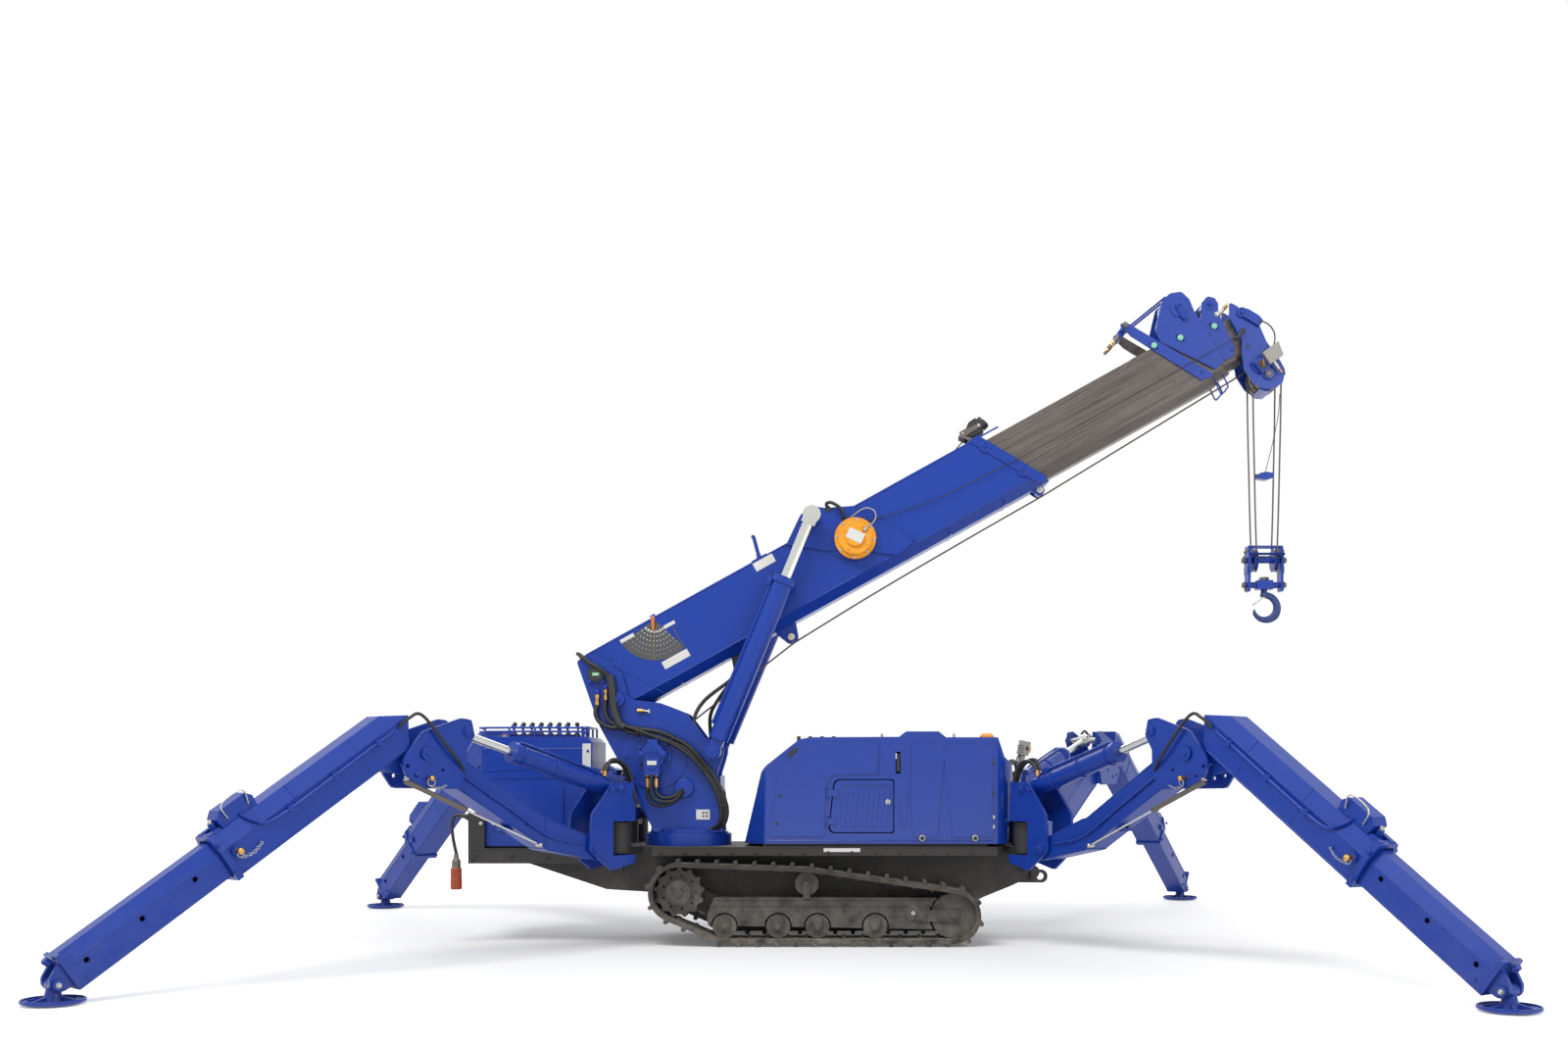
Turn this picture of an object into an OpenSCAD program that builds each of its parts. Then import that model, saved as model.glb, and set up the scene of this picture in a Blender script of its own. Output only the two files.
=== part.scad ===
// Tracked mini crane on four folding outriggers, with a telescopic boom.
// Ground at z = 0, +X towards the engine cowl, origin midway between the outrigger feet.

/* [Chassis] */
// Height of the top of the deck plate
deck_z = 452; // [435:1:470]
// Half the width of the chassis beam between the tracks
chassis_half_w = 185; // [165:1:188]
// Thickness of the chassis plates
chassis_t = 14; // [8:1:20]
// Rear end of the chassis
chassis_rear_x = -1500; // [-1560:5:-1480]
// Front end of the chassis
chassis_front_x = 1130; // [1110:5:1160]

/* [Tracks] */
// Overall width over both tracks
track_outer_w = 750; // [740:2:780]
// Width of one rubber belt
track_w = 180; // [160:2:182]
// Length between sprocket and idler centres
track_wheelbase = 1258; // [1200:2:1300]
// Thickness of the belt without its lugs
belt_t = 20; // [14:1:24]
// Height of the ground lugs
lug_h = 16; // [10:1:20]
// Number of lugs round one belt
lug_count = 38; // [30:1:44]
// Radius of the sprocket at the belt
sprocket_r = 117; // [105:1:122]
// Radius of the idler at the belt
idler_r = 104; // [95:1:110]

/* [Slewing] */
// Position of the slewing axis along the machine
slew_x = -500; // [-520:5:-490]
// Radius of the slewing ring cover
slew_r = 205; // [190:1:215]
// Height of the slewing ring cover above the deck
slew_h = 62; // [50:1:80]

/* [Mast] */
// Gap between the two mast side plates
mast_gap = 242; // [238:2:260]
// Thickness of a mast side plate
mast_t = 16; // [12:1:20]
// Radius of the winch drum's barrel
drum_r = 70; // [50:1:85]
// Radius of the boom foot pin
foot_pin_r = 27; // [20:1:32]

/* [Boom] */
// Angle of the boom above level, as parked
boom_angle = 29; // [27:1:31]
// Height of the base section
boom_h = 339; // [332:1:350]
// Width of the base section
boom_w = 230; // [224:1:230]
// Wall of every boom section
boom_wall = 6; // [4:0.5:7]
// Clear gap between one section and the next
boom_gap = 10; // [8:0.5:11]
// How far the second section stands out, as parked
second_out = 870; // [600:10:1100]
// Stroke of each telescoping section
section_stroke = 1500; // [1200:10:1500]

/* [Derrick cylinders] */
// Radius of a cylinder barrel
derrick_barrel_r = 47; // [42:1:52]
// Radius of a cylinder rod
derrick_rod_r = 26; // [20:1:30]
// Distance of a cylinder's axis from the middle of the machine
derrick_y = 196; // [192:1:205]

/* [Outriggers] */
// Bore for the vertical swing pin
swing_bore_r = 26; // [20:1:30]
// Thickness of the bracket and knuckle plates
leg_plate_t = 12; // [8:1:14]
// Width of the inner arm box
inner_arm_w = 122; // [100:2:124]
// Width of the outer arm box
outer_arm_w = 138; // [120:2:140]
// Height of the outer arm box
outer_arm_h = 176; // [160:2:184]
// Wall of the outer arm box
outer_arm_wall = 8; // [5:1:9]
// Clear gap between the outer arm and its extension beam
beam_gap = 7; // [5:0.5:9]
// Radius of the lift cylinder barrels
lift_barrel_r = 42; // [36:1:46]
// Radius of the lift cylinder rods
lift_rod_r = 18; // [14:1:22]
// Radius of a foot pad
pad_r = 105; // [90:1:120]

/* [Engine cowl] */
// Half the width of the cowl
cowl_half_w = 280; // [260:2:284]
// Height of the cowl's flat top above the ground
cowl_top_z = 958; // [940:1:970]
// Thickness of the cowl's moulded shell
cowl_t = 8; // [5:1:12]

/* [Hoist] */
// Drop from the boom head sheaves to the hook block sheaves
block_drop = 872; // [700:2:950]
// Radius of the hoist rope
rope_r = 4; // [3:0.5:6]
// Pitch radius of the head sheaves
head_sheave_r = 67; // [60:1:70]
// Inner radius of the hook's bowl
hook_r = 44; // [36:1:50]

/* [Hidden] */
$fn = 40;
fit = 0.05;
// Air left between faces that only just don't touch.
near = 0.5;

paint = [0.02, 0.10, 0.52];
dark = [0.09, 0.09, 0.09];
steel = [0.62, 0.60, 0.57];
raw_steel = [0.36, 0.33, 0.31];
amber = [0.95, 0.60, 0.05];

// Outline helpers: each corner is [along, up, fillet radius].
function unit(v) = v / norm(v);
function corner_arc(before, at, after, r, n) =
    r <= 0 ? [at] :
    let (u = unit(before - at), v = unit(after - at),
         half = acos(u * v) / 2,
         centre = at + unit(u + v) * (r / sin(half)),
         start = at + u * (r / tan(half)) - centre,
         stop = at + v * (r / tan(half)) - centre,
         a0 = atan2(start[1], start[0]),
         turn = atan2(start[0] * stop[1] - start[1] * stop[0], start * stop))
    [for (i = [0:n]) centre + r * [cos(a0 + turn * i / n), sin(a0 + turn * i / n)]];
function rounded(corners, n = 5) =
    let (c = len(corners))
    [for (i = [0:c - 1])
        let (a = corners[(i + c - 1) % c], b = corners[i], d = corners[(i + 1) % c])
        each corner_arc([a[0], a[1]], [b[0], b[1]], [d[0], d[1]], b[2], n)];

// Upright plate of that outline, its faces at y - t / 2 and y + t / 2.
module plate(points, y, t) {
    translate([0, y + t / 2, 0]) rotate([90, 0, 0]) linear_extrude(t) polygon(points);
}
// Round bar along Y through a point of the XZ plane.
module bar_y(x, z, r, y0, y1) {
    translate([x, y0, z]) rotate([-90, 0, 0]) cylinder(r = r, h = y1 - y0);
}
module bar_x(x0, x1, y, z, r) {
    translate([x0, y, z]) rotate([0, 90, 0]) cylinder(r = r, h = x1 - x0);
}
module block(low, high) {
    translate(low) cube(high - low);
}
module both_sides() {
    children();
    mirror([0, 1, 0]) children();
}

// Tracks

track_y = track_outer_w / 2 - track_w / 2;
idler_x = 745;
sprocket_x = idler_x - track_wheelbase;
idler_z = lug_h + belt_t + idler_r;
sprocket_z = 246;
belt_half_t = belt_t / 2;
roller_r = 56;
roller_z = lug_h + belt_t + roller_r;
first_roller_x = -304;
carrier_x = 73;
carrier_z = 287;
carrier_r = 55;

// Belt centre line as wheels with radii, in order round the loop.
belt_wheels = [
    [sprocket_x, sprocket_z, sprocket_r + belt_half_t],
    [carrier_x, carrier_z, carrier_r + belt_half_t],
    [idler_x, idler_z, idler_r + belt_half_t],
    [first_roller_x, roller_z, roller_r + belt_half_t]];

// Angle of the outside tangent from wheel a to wheel b, loop run clockwise.
function tangent_angle(a, b) =
    let (d = [b[0] - a[0], b[1] - a[1]])
    atan2(d[1], d[0]) + acos((a[2] - b[2]) / norm(d));
function belt_loop(shift, arc_steps = 18) =
    let (n = len(belt_wheels))
    [for (i = [0:n - 1])
        let (w = belt_wheels[i],
             into = tangent_angle(belt_wheels[(i + n - 1) % n], w),
             out_raw = tangent_angle(w, belt_wheels[(i + 1) % n]),
             out = out_raw > into ? out_raw - 360 : out_raw)
        each [for (k = [0:arc_steps])
            let (a = into + (out - into) * k / arc_steps)
            [w[0] + (w[2] + shift) * cos(a), w[1] + (w[2] + shift) * sin(a)]]];
function loop_lengths(p) =
    [for (i = 0, total = 0; i <= len(p); total = total + norm(p[(i + 1) % len(p)] - p[i % len(p)]), i = i + 1) total];
function place_on(p, lengths, s) =
    let (i = max([for (k = [0:len(p) - 1]) lengths[k] <= s ? k : 0]),
         a = p[i], b = p[(i + 1) % len(p)],
         f = (s - lengths[i]) / max(0.001, norm(b - a)))
    [a + (b - a) * f, atan2(b[1] - a[1], b[0] - a[0])];

lug_long = 26;
nub_long = 18;
nub_h = 14;
nub_w = 34;

module belt() {
    mid = belt_loop(0);
    run = loop_lengths(mid);
    total = run[len(run) - 1];
    translate([0, track_w / 2, 0]) rotate([90, 0, 0]) {
        linear_extrude(track_w) difference() {
            union() {
                polygon(belt_loop(belt_half_t));
                for (i = [0:lug_count - 1]) {
                    at = place_on(mid, run, total * i / lug_count);
                    translate(at[0]) rotate(at[1])
                        polygon([[-lug_long / 2, 0], [lug_long / 2, 0],
                                 [lug_long / 2 - 5, belt_half_t + lug_h],
                                 [5 - lug_long / 2, belt_half_t + lug_h]]);
                }
            }
            polygon(belt_loop(-belt_half_t));
        }
        // Drive nubs in the middle of the belt's inside.
        translate([0, 0, (track_w - nub_w) / 2]) linear_extrude(nub_w)
            for (i = [0:lug_count - 1]) {
                at = place_on(mid, run, total * (i + 0.5) / lug_count);
                translate(at[0]) rotate(at[1])
                    translate([-nub_long / 2, -belt_half_t - nub_h]) square([nub_long, nub_h + 4]);
            }
    }
}
module tracks() {
    color(dark) both_sides() translate([0, track_y, 0]) belt();
}

frame_low_z = 78;
frame_high_z = 222;
frame_rear_x = -378;
frame_front_x = 700;
frame_half_w = 52;
axle_r = 22;

module track_frames() {
    side = rounded([[frame_rear_x + 26, frame_high_z, 0], [frame_front_x, frame_high_z, 0],
        [frame_front_x + 20, (frame_low_z + frame_high_z) / 2, 0],
        [frame_front_x - 30, frame_low_z, 0], [frame_rear_x, frame_low_z + 18, 0],
        [frame_rear_x - 6, frame_low_z + 60, 0]]);
    roller_xs = [first_roller_x, -58, 122, 387];
    color(dark) both_sides() translate([0, track_y, 0]) {
        difference() {
            union() {
                plate(side, 0, 2 * frame_half_w);
                // Neck from the frame to the sprocket's final drive.
                plate([[sprocket_x, sprocket_z - 50], [sprocket_x, sprocket_z + 50],
                       [frame_rear_x + 60, frame_high_z - 4], [frame_rear_x + 60, frame_low_z + 30]],
                      -frame_half_w + 4, 20);
                bar_y(sprocket_x, sprocket_z, 60, -74, -33 - near);
                // Cross beams to the chassis.
                for (x = [-150, 480])
                    block([x - 45, -track_y + chassis_half_w, frame_low_z + 40],
                          [x + 45, -frame_half_w + 1, frame_high_z - 8]);
                // Bracket of the carrier roller and the guide plates beside the lower rollers.
                plate([[carrier_x - 16, frame_high_z - 2], [carrier_x + 16, frame_high_z - 2],
                       [carrier_x + 16, 300], [carrier_x - 16, 300]], frame_half_w + 6, 10);
                block([carrier_x - 16, frame_half_w - 6, frame_high_z - 2],
                      [carrier_x + 16, frame_half_w + 4, frame_high_z + 14]);
            }
            for (x = roller_xs) {
                bar_y(x, roller_z, roller_r + 6, -70, 70);
            }
            // The idler works in the open front of the frame.
            bar_y(idler_x, idler_z, idler_r + 8, -70, 70);
            bar_y(carrier_x, carrier_z, 7, 0, 70);
        }
        for (x = roller_xs) bar_y(x, roller_z, axle_r, -frame_half_w - 8, frame_half_w + 8);
        for (x = roller_xs) for (s = [-1, 1])
            plate([[x - 26, frame_low_z + 60], [x + 26, frame_low_z + 60], [x + 20, roller_z - 20], [x - 20, roller_z - 20]],
                  s * (frame_half_w + 4), 8);
        bar_y(idler_x, idler_z, axle_r, -frame_half_w - 8, frame_half_w + 8);
        for (s = [-1, 1])
            plate([[frame_front_x - 120, idler_z - 26], [idler_x + 26, idler_z - 26],
                   [idler_x + 26, idler_z + 26], [frame_front_x - 120, idler_z + 26]],
                  s * (frame_half_w + 4), 8);
    }
}

tooth_h = 16;
module sprocket() {
    teeth = 13;
    root = sprocket_r - tooth_h;
    outline = [for (i = [0:teeth - 1]) let (a = i * 360 / teeth)
        each [for (p = [[-15, root], [-6, sprocket_r - 2], [6, sprocket_r - 2], [15, root]])
            [p[0] * cos(a) + p[1] * sin(a), p[1] * cos(a) - p[0] * sin(a)]]];
    for (side = [-1, 1]) difference() {
        plate(outline, side * 27, 12);
        for (a = [0:40:320]) bar_y(76 * cos(a), 76 * sin(a), 5, side * 27 - 10, side * 27 + 10);
    }
    // Hub between the rings and stepped cover towards the outside.
    bar_y(0, 0, 58, -22, 22);
    bar_y(0, 0, 62, 31, 52);
    bar_y(0, 0, 54, 51, 70);
    for (a = [30:120:270]) bar_y(38 * cos(a), 38 * sin(a), 7, 69, 76);
}
module track_wheels() {
    roller_xs = [first_roller_x, -58, 122, 387];
    color(dark) both_sides() translate([0, track_y, 0]) {
        translate([sprocket_x, 0, sprocket_z]) sprocket();
        // Idler and rollers are split by a groove over the drive nubs.
        for (s = [-1, 1]) difference() {
            bar_y(idler_x, idler_z, idler_r - 0.8, min(s * 24, s * 46), max(s * 24, s * 46));
            bar_y(idler_x, idler_z, axle_r + fit, -60, 60);
        }
        difference() {
            bar_y(idler_x, idler_z, idler_r - 22, -24, 24);
            bar_y(idler_x, idler_z, axle_r + fit, -60, 60);
        }
        for (x = roller_xs) difference() {
            union() {
                for (s = [-1, 1])
                    bar_y(x, roller_z, roller_r - 0.8, min(s * 24, s * 46), max(s * 24, s * 46));
                bar_y(x, roller_z, roller_r - 20, -24, 24);
            }
            bar_y(x, roller_z, axle_r + fit, -60, 60);
        }
        difference() {
            union() {
                for (s = [-1, 1])
                    bar_y(carrier_x, carrier_z, carrier_r - 0.8, min(s * 24, s * 42), max(s * 24, s * 42));
                bar_y(carrier_x, carrier_z, carrier_r - 19, -24, 24);
            }
            bar_y(carrier_x, carrier_z, 7, -60, 60);
        }
        bar_y(carrier_x, carrier_z, 6.7, -40, frame_half_w + 16);
    }
}

// Outrigger table. Columns: name, post x, post side (-1 near, 1 far), foot x, foot y.
post_y = 310;
pos_rear_x = -794;
pos_front_x = 1085;
LEGS = [
    ["rear_near", pos_rear_x, -1, -2465, -2130],
    ["front_near", pos_front_x, -1, 2465, -2290],
    ["rear_far", pos_rear_x, 1, -2455, 1700],
    ["front_far", pos_front_x, 1, 2335, 2290]];

swing_tube_r = 60;
swing_low_z = 426;
swing_high_z = 568;

// Chassis

module lashing_eye(x, z, way) {
    plate(rounded([[x - 34 * way, z - 30, 0], [x + 34 * way, z - 30, 28], [x + 34 * way, z + 30, 28],
                   [x - 34 * way, z + 36, 0]]), 0, 18);
}
eye_r = 16;
eye_front_x = 1163;
eye_front_z = 309;
eye_rear_z = 390;

module chassis_frame() {
    side = [[-1233, 372], [-865, 250], [-640, 236], [-600, 150], [760, 150], [895, 214],
            [1034, 270], [1094, 300], [chassis_front_x, deck_z - 60], [chassis_front_x, deck_z - chassis_t],
            [chassis_rear_x + 60, deck_z - chassis_t], [chassis_rear_x + 60, 372]];
    half = chassis_half_w;
    color(dark) difference() {
        union() {
            for (s = [-1, 1]) plate(side, s * (half - chassis_t / 2), chassis_t);
            // Deck, belly and end plates close the beam.
            block([chassis_rear_x, -half, deck_z - chassis_t], [chassis_front_x, half, deck_z]);
            block([-600, -half, 150], [760, half, 150 + chassis_t]);
            block([chassis_front_x - chassis_t, -half, 300], [chassis_front_x, half, deck_z]);
            // Wide deck over the tracks, stopped short of the swing posts.
            block([-640, -300, deck_z - chassis_t], [950, 300, deck_z]);
            for (s = [-1, 1])
                block([-640, s * 294 - 6, deck_z - 40], [950, s * 294 + 6, deck_z]);
            // Plinth that the engine cowl stands on.
            for (s = [-1, 1]) block([-130, s * (cowl_half_w - 24) - 14, deck_z - 1], [905, s * (cowl_half_w - 24) + 14, cowl_z]);
            for (x = [-150, 985]) block([x - 12, -150, deck_z - 1], [x + 12, 150, cowl_z]);
            // Rear frame round the control box.
            for (s = [-1, 1]) {
                block([chassis_rear_x, s * 226 - 14, 373], [pos_rear_x - 130, s * 226 + 14, 441]);
                block([chassis_rear_x, s * 226 - 14, 373], [chassis_rear_x + 75, s * 226 + 14, 610]);
            }
            block([chassis_rear_x, -240, 373], [chassis_rear_x + 12, 240, 441]);
            block([pos_rear_x - 142, -240, 373], [pos_rear_x - 130, 240, 441]);
            // Swing posts: an upright tube and the arms that carry it.
            for (leg = LEGS) {
                translate([leg[1], leg[2] * post_y, swing_low_z])
                    cylinder(r = swing_tube_r, h = swing_high_z - swing_low_z);
                way = leg[1] < 0 ? 1 : -1;
                // Arm runs inwards and towards the middle of the machine.
                for (z = [swing_low_z + 2, swing_high_z - 26])
                    translate([0, 0, z]) linear_extrude(24)
                        polygon([[leg[1] - way * 40, leg[2] * post_y], [leg[1] + way * 40, leg[2] * post_y],
                                 [leg[1] + way * (z > 500 ? 30 : 110), leg[2] * (half - 20)],
                                 [leg[1] - way * 40, leg[2] * (half - 20)]]);
                block([leg[1] - 8, min(leg[2] * (half - 20), leg[2] * (post_y - 98)), 330],
                      [leg[1] + 8, max(leg[2] * (half - 20), leg[2] * (post_y - 98)), swing_high_z - 2]);
                // Stub that lifts the upper arm off the deck.
                block([leg[1] - 38, min(leg[2] * (half - 34), leg[2] * (half - 10)), deck_z - 4],
                      [leg[1] + 28, max(leg[2] * (half - 34), leg[2] * (half - 10)), swing_high_z - 2]);
            }
            for (s = [-1, 1]) {
                translate([0, s * (half - 30), 0]) {
                    lashing_eye(eye_front_x, eye_front_z, 1);
                    plate([[1040, 280], [eye_front_x - 30, eye_front_z - 30], [eye_front_x - 30, eye_front_z + 36],
                           [1090, 330]], 0, 18);
                }
            }
        }
        for (leg = LEGS) translate([leg[1], leg[2] * post_y, swing_low_z - 1])
            cylinder(r = swing_bore_r, h = swing_high_z - swing_low_z + 2);
        for (s = [-1, 1]) {
            bar_y(eye_front_x, eye_front_z, eye_r, s * (half - 30) - 20, s * (half - 30) + 20);
            bar_y(chassis_rear_x + 28, eye_rear_z, eye_r - 4, s * 226 - 20, s * 226 + 20);
        }
    }
}

module slew_base() {
    color(paint) translate([slew_x, 0, deck_z]) difference() {
        union() {
            cylinder(r = slew_r, h = slew_h - 8, $fn = 64);
            cylinder(r = slew_r - 14, h = slew_h, $fn = 64);
        }
        translate([0, 0, slew_h - 30]) cylinder(r = 40, h = 40);
    }
}

// Engine cowl: a moulded shell, open below.
cowl_outline = [[-222, 0], [-139, 330], [-118, 358], [36, 480], [89, 490], [497, 492], [530, 517],
                [680, 517], [714, 490], [954, 490], [985, 400], [1024, 366], [1030, 300], [1000, 0]];
cowl_z = deck_z + 14;

function cowl_section(inset) =
    rounded([for (p = cowl_outline)
        [p[0] + (p[0] < 400 ? inset * 1.1 : -inset * 1.1),
         p[1] * (cowl_top_z - cowl_z) / 490 - (p[1] > 0 || inset > 0 ? inset : 0), 0]]);
module cowl_body(inset) {
    r = 100 - inset;
    intersection() {
        translate([0, 0, cowl_z]) plate(cowl_section(inset), 0, 2 * (cowl_half_w - inset));
        // Plan shape with big round corners at the front and bevels at the rear.
        translate([0, 0, cowl_z - 40]) linear_extrude(700)
            polygon(rounded([[-230 + inset, -cowl_half_w + 110 + inset, 20], [-120, -cowl_half_w + inset, 40],
                [1032 - inset, -cowl_half_w + inset, r], [1032 - inset, cowl_half_w - inset, r],
                [-120, cowl_half_w - inset, 40], [-230 + inset, cowl_half_w - 110 - inset, 20]], 8));
    }
}
hatch_low = [175, 520];
hatch_high = [470, 760];
hatch_gap = 5;
hinge_zs = [570, 700];
hinge_y = -cowl_half_w - 5.5;
module hatch_outline(grow) {
    offset_c = grow;
    polygon(rounded([[hatch_low[0] - offset_c, hatch_low[1] - offset_c, 26],
        [hatch_high[0] + offset_c, hatch_low[1] - offset_c, 10],
        [hatch_high[0] + offset_c, hatch_high[1] + offset_c, 10],
        [hatch_low[0] + 26 - offset_c, hatch_high[1] + offset_c, 30]]));
}
module engine_cowl() {
    color(paint) difference() {
        cowl_body(0);
        cowl_body(cowl_t);
        translate([0, -cowl_half_w + 60, 0]) rotate([90, 0, 0]) linear_extrude(100) hatch_outline(hatch_gap);
        // Grip slot and hand hole through the near side.
        for (s = [-1, 1]) block([482, s * cowl_half_w - 30, 790], [504, s * cowl_half_w + 30, 890]);
    }
    // Fixed hinge eyes above and below those of the hatch.
    color(paint) for (z = hinge_zs) for (s = [-1, 1])
        translate([hatch_low[0] - 9, hinge_y, z + s * (16 + near) - (s < 0 ? 12 : 0)]) cylinder(r = 7, h = 12);
}
module cowl_hatch() {
    color(paint) {
        translate([0, -cowl_half_w + cowl_t, 0]) rotate([90, 0, 0]) linear_extrude(cowl_t) hatch_outline(0);
        for (i = [0:4]) translate([225 + i * 48, -cowl_half_w + 1, 548]) rotate([90, 0, 0])
            linear_extrude(7) polygon(rounded([[0, 0, 6], [20, 0, 6], [38, 175, 6], [22, 175, 6]]));
        bar_y(446, 660, 11, -cowl_half_w - 10, -cowl_half_w + 2);
        for (z = hinge_zs) {
            translate([hatch_low[0] - 9, hinge_y, z - 16]) cylinder(r = 4.4, h = 32);
            // The strap reaches past the slanted edge of the hatch.
            edge = hatch_low[0] + 26 * (z - hatch_low[1]) / (hatch_high[1] - hatch_low[1]);
            block([hatch_low[0] - 9, -cowl_half_w - 8, z - 15], [edge + 24, -cowl_half_w - near, z + 15]);
            block([edge + 4, -cowl_half_w - 3, z - 15], [edge + 24, -cowl_half_w + 1, z + 15]);
        }
    }
}
module engine_block() {
    color(dark) block([60, -190, deck_z + 20], [900, 190, 860]);
    color(dark) for (x = [110, 850]) for (y = [-150, 150])
        block([x - 25, y - 25, deck_z], [x + 25, y + 25, deck_z + 21]);
}

box_front_x = -930;
box_half_w = 205;
console_z = 962;
module control_box() {
    color(paint) difference() {
        union() {
            block([-1445, -box_half_w, deck_z + 2], [box_front_x, box_half_w, 905]);
            // Sloping console top.
            plate([[-1445, 904], [box_front_x, 904], [box_front_x, 938], [-955, console_z], [-1445, console_z]],
                  0, 2 * box_half_w);
        }
        block([-1437, 8 - box_half_w, deck_z + 10], [box_front_x - 8, box_half_w - 8, 896]);
        // Pressed panels on both sides.
        for (s = [-1, 1]) translate([0, s * box_half_w, 0])
            plate(rounded([[-1390, 500, 8], [-1040, 500, 8], [-1040, 770, 50], [-1390, 770, 8]]), 0, 8);
    }
    color(paint) block([-1445, -box_half_w, deck_z], [box_front_x, box_half_w, deck_z + 3]);
}
module control_levers() {
    color(paint) {
        // Lever bank, guard rails and the instrument tray.
        block([-1330, -170, console_z], [-1030, 170, console_z + 12]);
        for (i = [0:6]) {
            x = -1310 + i * 42;
            translate([x, -110, console_z + 10]) rotate([0, -8, 0]) cylinder(r = 6, h = 42);
            translate([x, -110, console_z + 10]) rotate([0, -8, 0]) translate([0, 0, 40]) sphere(r = 12);
        }
        for (x = [-1005, -985, -965]) {
            bar_y(x, console_z + 46, 5, -156, 156);
            for (y = [-150, 150]) translate([x, y, console_z]) cylinder(r = 5, h = 46);
        }
    }
}
module beacon() {
    x = 1068;
    color(steel) {
        translate([x, -60, deck_z]) cylinder(r = 14, h = 330);
        translate([x, -60, deck_z + 328]) rotate([0, 12, 0]) cylinder(r1 = 12, r2 = 17, h = 110);
    }
    color(dark) translate([x + 23, -60, deck_z + 433]) rotate([0, 12, 0])
        block([-26, -24, -6], [26, 24, 60]);
}
module front_guard() {
    color(amber) block([1070, 50, 560], [1112, 138, 790]);
    color(dark) {
        for (y = [44, 138]) block([1066, y, deck_z], [1116, y + 6, 800]);
        block([1066, 44, 790], [1116, 144, 800]);
    }
}

// Free lead and plug at the rear.
lead_r = 8;
lead_y = -226;
LEAD_ROUTE = [[chassis_rear_x - 1, lead_y, 588], [-1515, lead_y, 588], [-1538, lead_y, 596], [-1560, lead_y, 595],
    [-1574, lead_y, 578], [-1578, lead_y, 545], [-1574, lead_y, 500], [-1566, lead_y, 455], [-1558, lead_y, 418], [-1558, lead_y, 392.5]];
function along(route, i) = route[min(max(i, 0), len(route) - 1)];
module tube_path(route, r, sides = 10) {
    rings = [for (i = [0:len(route) - 1])
        let (t = unit(along(route, i + 1) - along(route, i - 1)),
             a = unit(cross(t, abs(t[1]) < 0.9 ? [0, 1, 0] : [1, 0, 0])), b = cross(t, a))
        [for (k = [0:sides - 1]) route[i] + r * (cos(k * 360 / sides) * a + sin(k * 360 / sides) * b)]];
    n = len(route);
    polyhedron(
        points = [for (ring = rings) each ring],
        faces = concat(
            [[for (k = [sides - 1:-1:0]) k]],
            [for (i = [0:n - 2]) for (k = [0:sides - 1])
                [i * sides + k, i * sides + (k + 1) % sides, (i + 1) * sides + (k + 1) % sides, (i + 1) * sides + k]],
            [[for (k = [0:sides - 1]) (n - 1) * sides + k]]));
}
module power_lead() {
    color(dark) tube_path(LEAD_ROUTE, lead_r);
}
module power_plug() {
    end = LEAD_ROUTE[len(LEAD_ROUTE) - 1];
    color(steel) translate([end[0], end[1], end[2] - 40]) cylinder(r = 20, h = 40);
    color([0.55, 0.16, 0.06]) translate([end[0], end[1], end[2] - 140]) cylinder(r = 27, h = 101);
}

// Mast

foot_pin = [-820, 1138];
cyl_low = [-367, 894];
cyl_high = [93, 1997];
drum_c = [-650, 874];
mast_low_z = deck_z + slew_h + near;
mast_y = mast_gap / 2 + mast_t / 2;

mast_outline = rounded([
    [-1014, 1316, 14], [-969, 1352, 10], [-905, 1345, 20], [-800, 1262, 20], [-772, 1150, 30],
    [-735, 1135, 20], [-620, 1122, 60], [-500, 1075, 60], [-410, 955, 30], [-372, 948, 30], [-318, 925, 30],
    [-330, 860, 20], [-352, 790, 20], [-332, 690, 20], [-332, mast_low_z, 0], [-655, mast_low_z, 0],
    [-660, mast_low_z + 20, 0], [-735, 730, 60], [-815, 845, 60], [-905, 1010, 60], [-932, 1080, 60]]);

module mast_frame() {
    color(paint) difference() {
        union() {
            for (s = [-1, 1]) plate(mast_outline, s * mast_y, mast_t);
            translate([slew_x, 0, mast_low_z]) cylinder(r = slew_r - 24, h = 14, $fn = 64);
            translate([slew_x, 0, mast_low_z - 29]) cylinder(r = 40 - fit, h = 30);
            // Cross plates tie the sides together in front of and behind the drum.
            block([-350, -mast_y, mast_low_z + 10], [-338, mast_y, 780]);
            plate([[-812, 840], [-800, 846], [-648, mast_low_z + 16], [-655, mast_low_z + 8]], 0, 2 * mast_y);
            // Foot pin and the lower pins of the derrick cylinders.
            bar_y(foot_pin[0], foot_pin[1], foot_pin_r, -mast_y - 22, mast_y + 22);
            for (s = [-1, 1]) {
                bar_y(cyl_low[0], cyl_low[1], 20, min(s * mast_y, s * (derrick_y + 42)),
                      max(s * mast_y, s * (derrick_y + 42)));
                bar_y(drum_c[0], drum_c[1], 156, min(s * (mast_y), s * (mast_y + 14)),
                      max(s * (mast_y), s * (mast_y + 14)));
                for (a = [0:45:315])
                    bar_y(drum_c[0] + 132 * cos(a), drum_c[1] + 132 * sin(a), 11,
                          min(s * (mast_y + 10), s * (mast_y + 19)), max(s * (mast_y + 10), s * (mast_y + 19)));
                // Stub axle of the winch drum.
                bar_y(drum_c[0], drum_c[1], 24, min(s * (mast_gap / 2 - 24), s * mast_y), max(s * (mast_gap / 2 - 24), s * mast_y));
            }
            // Collar round the hose opening.
            bar_y(-508, 722, 46, -mast_y - 18, -mast_y);
        }
        bar_y(-508, 722, 38, -mast_y - 30, -mast_y + 20);
    }
}
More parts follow.
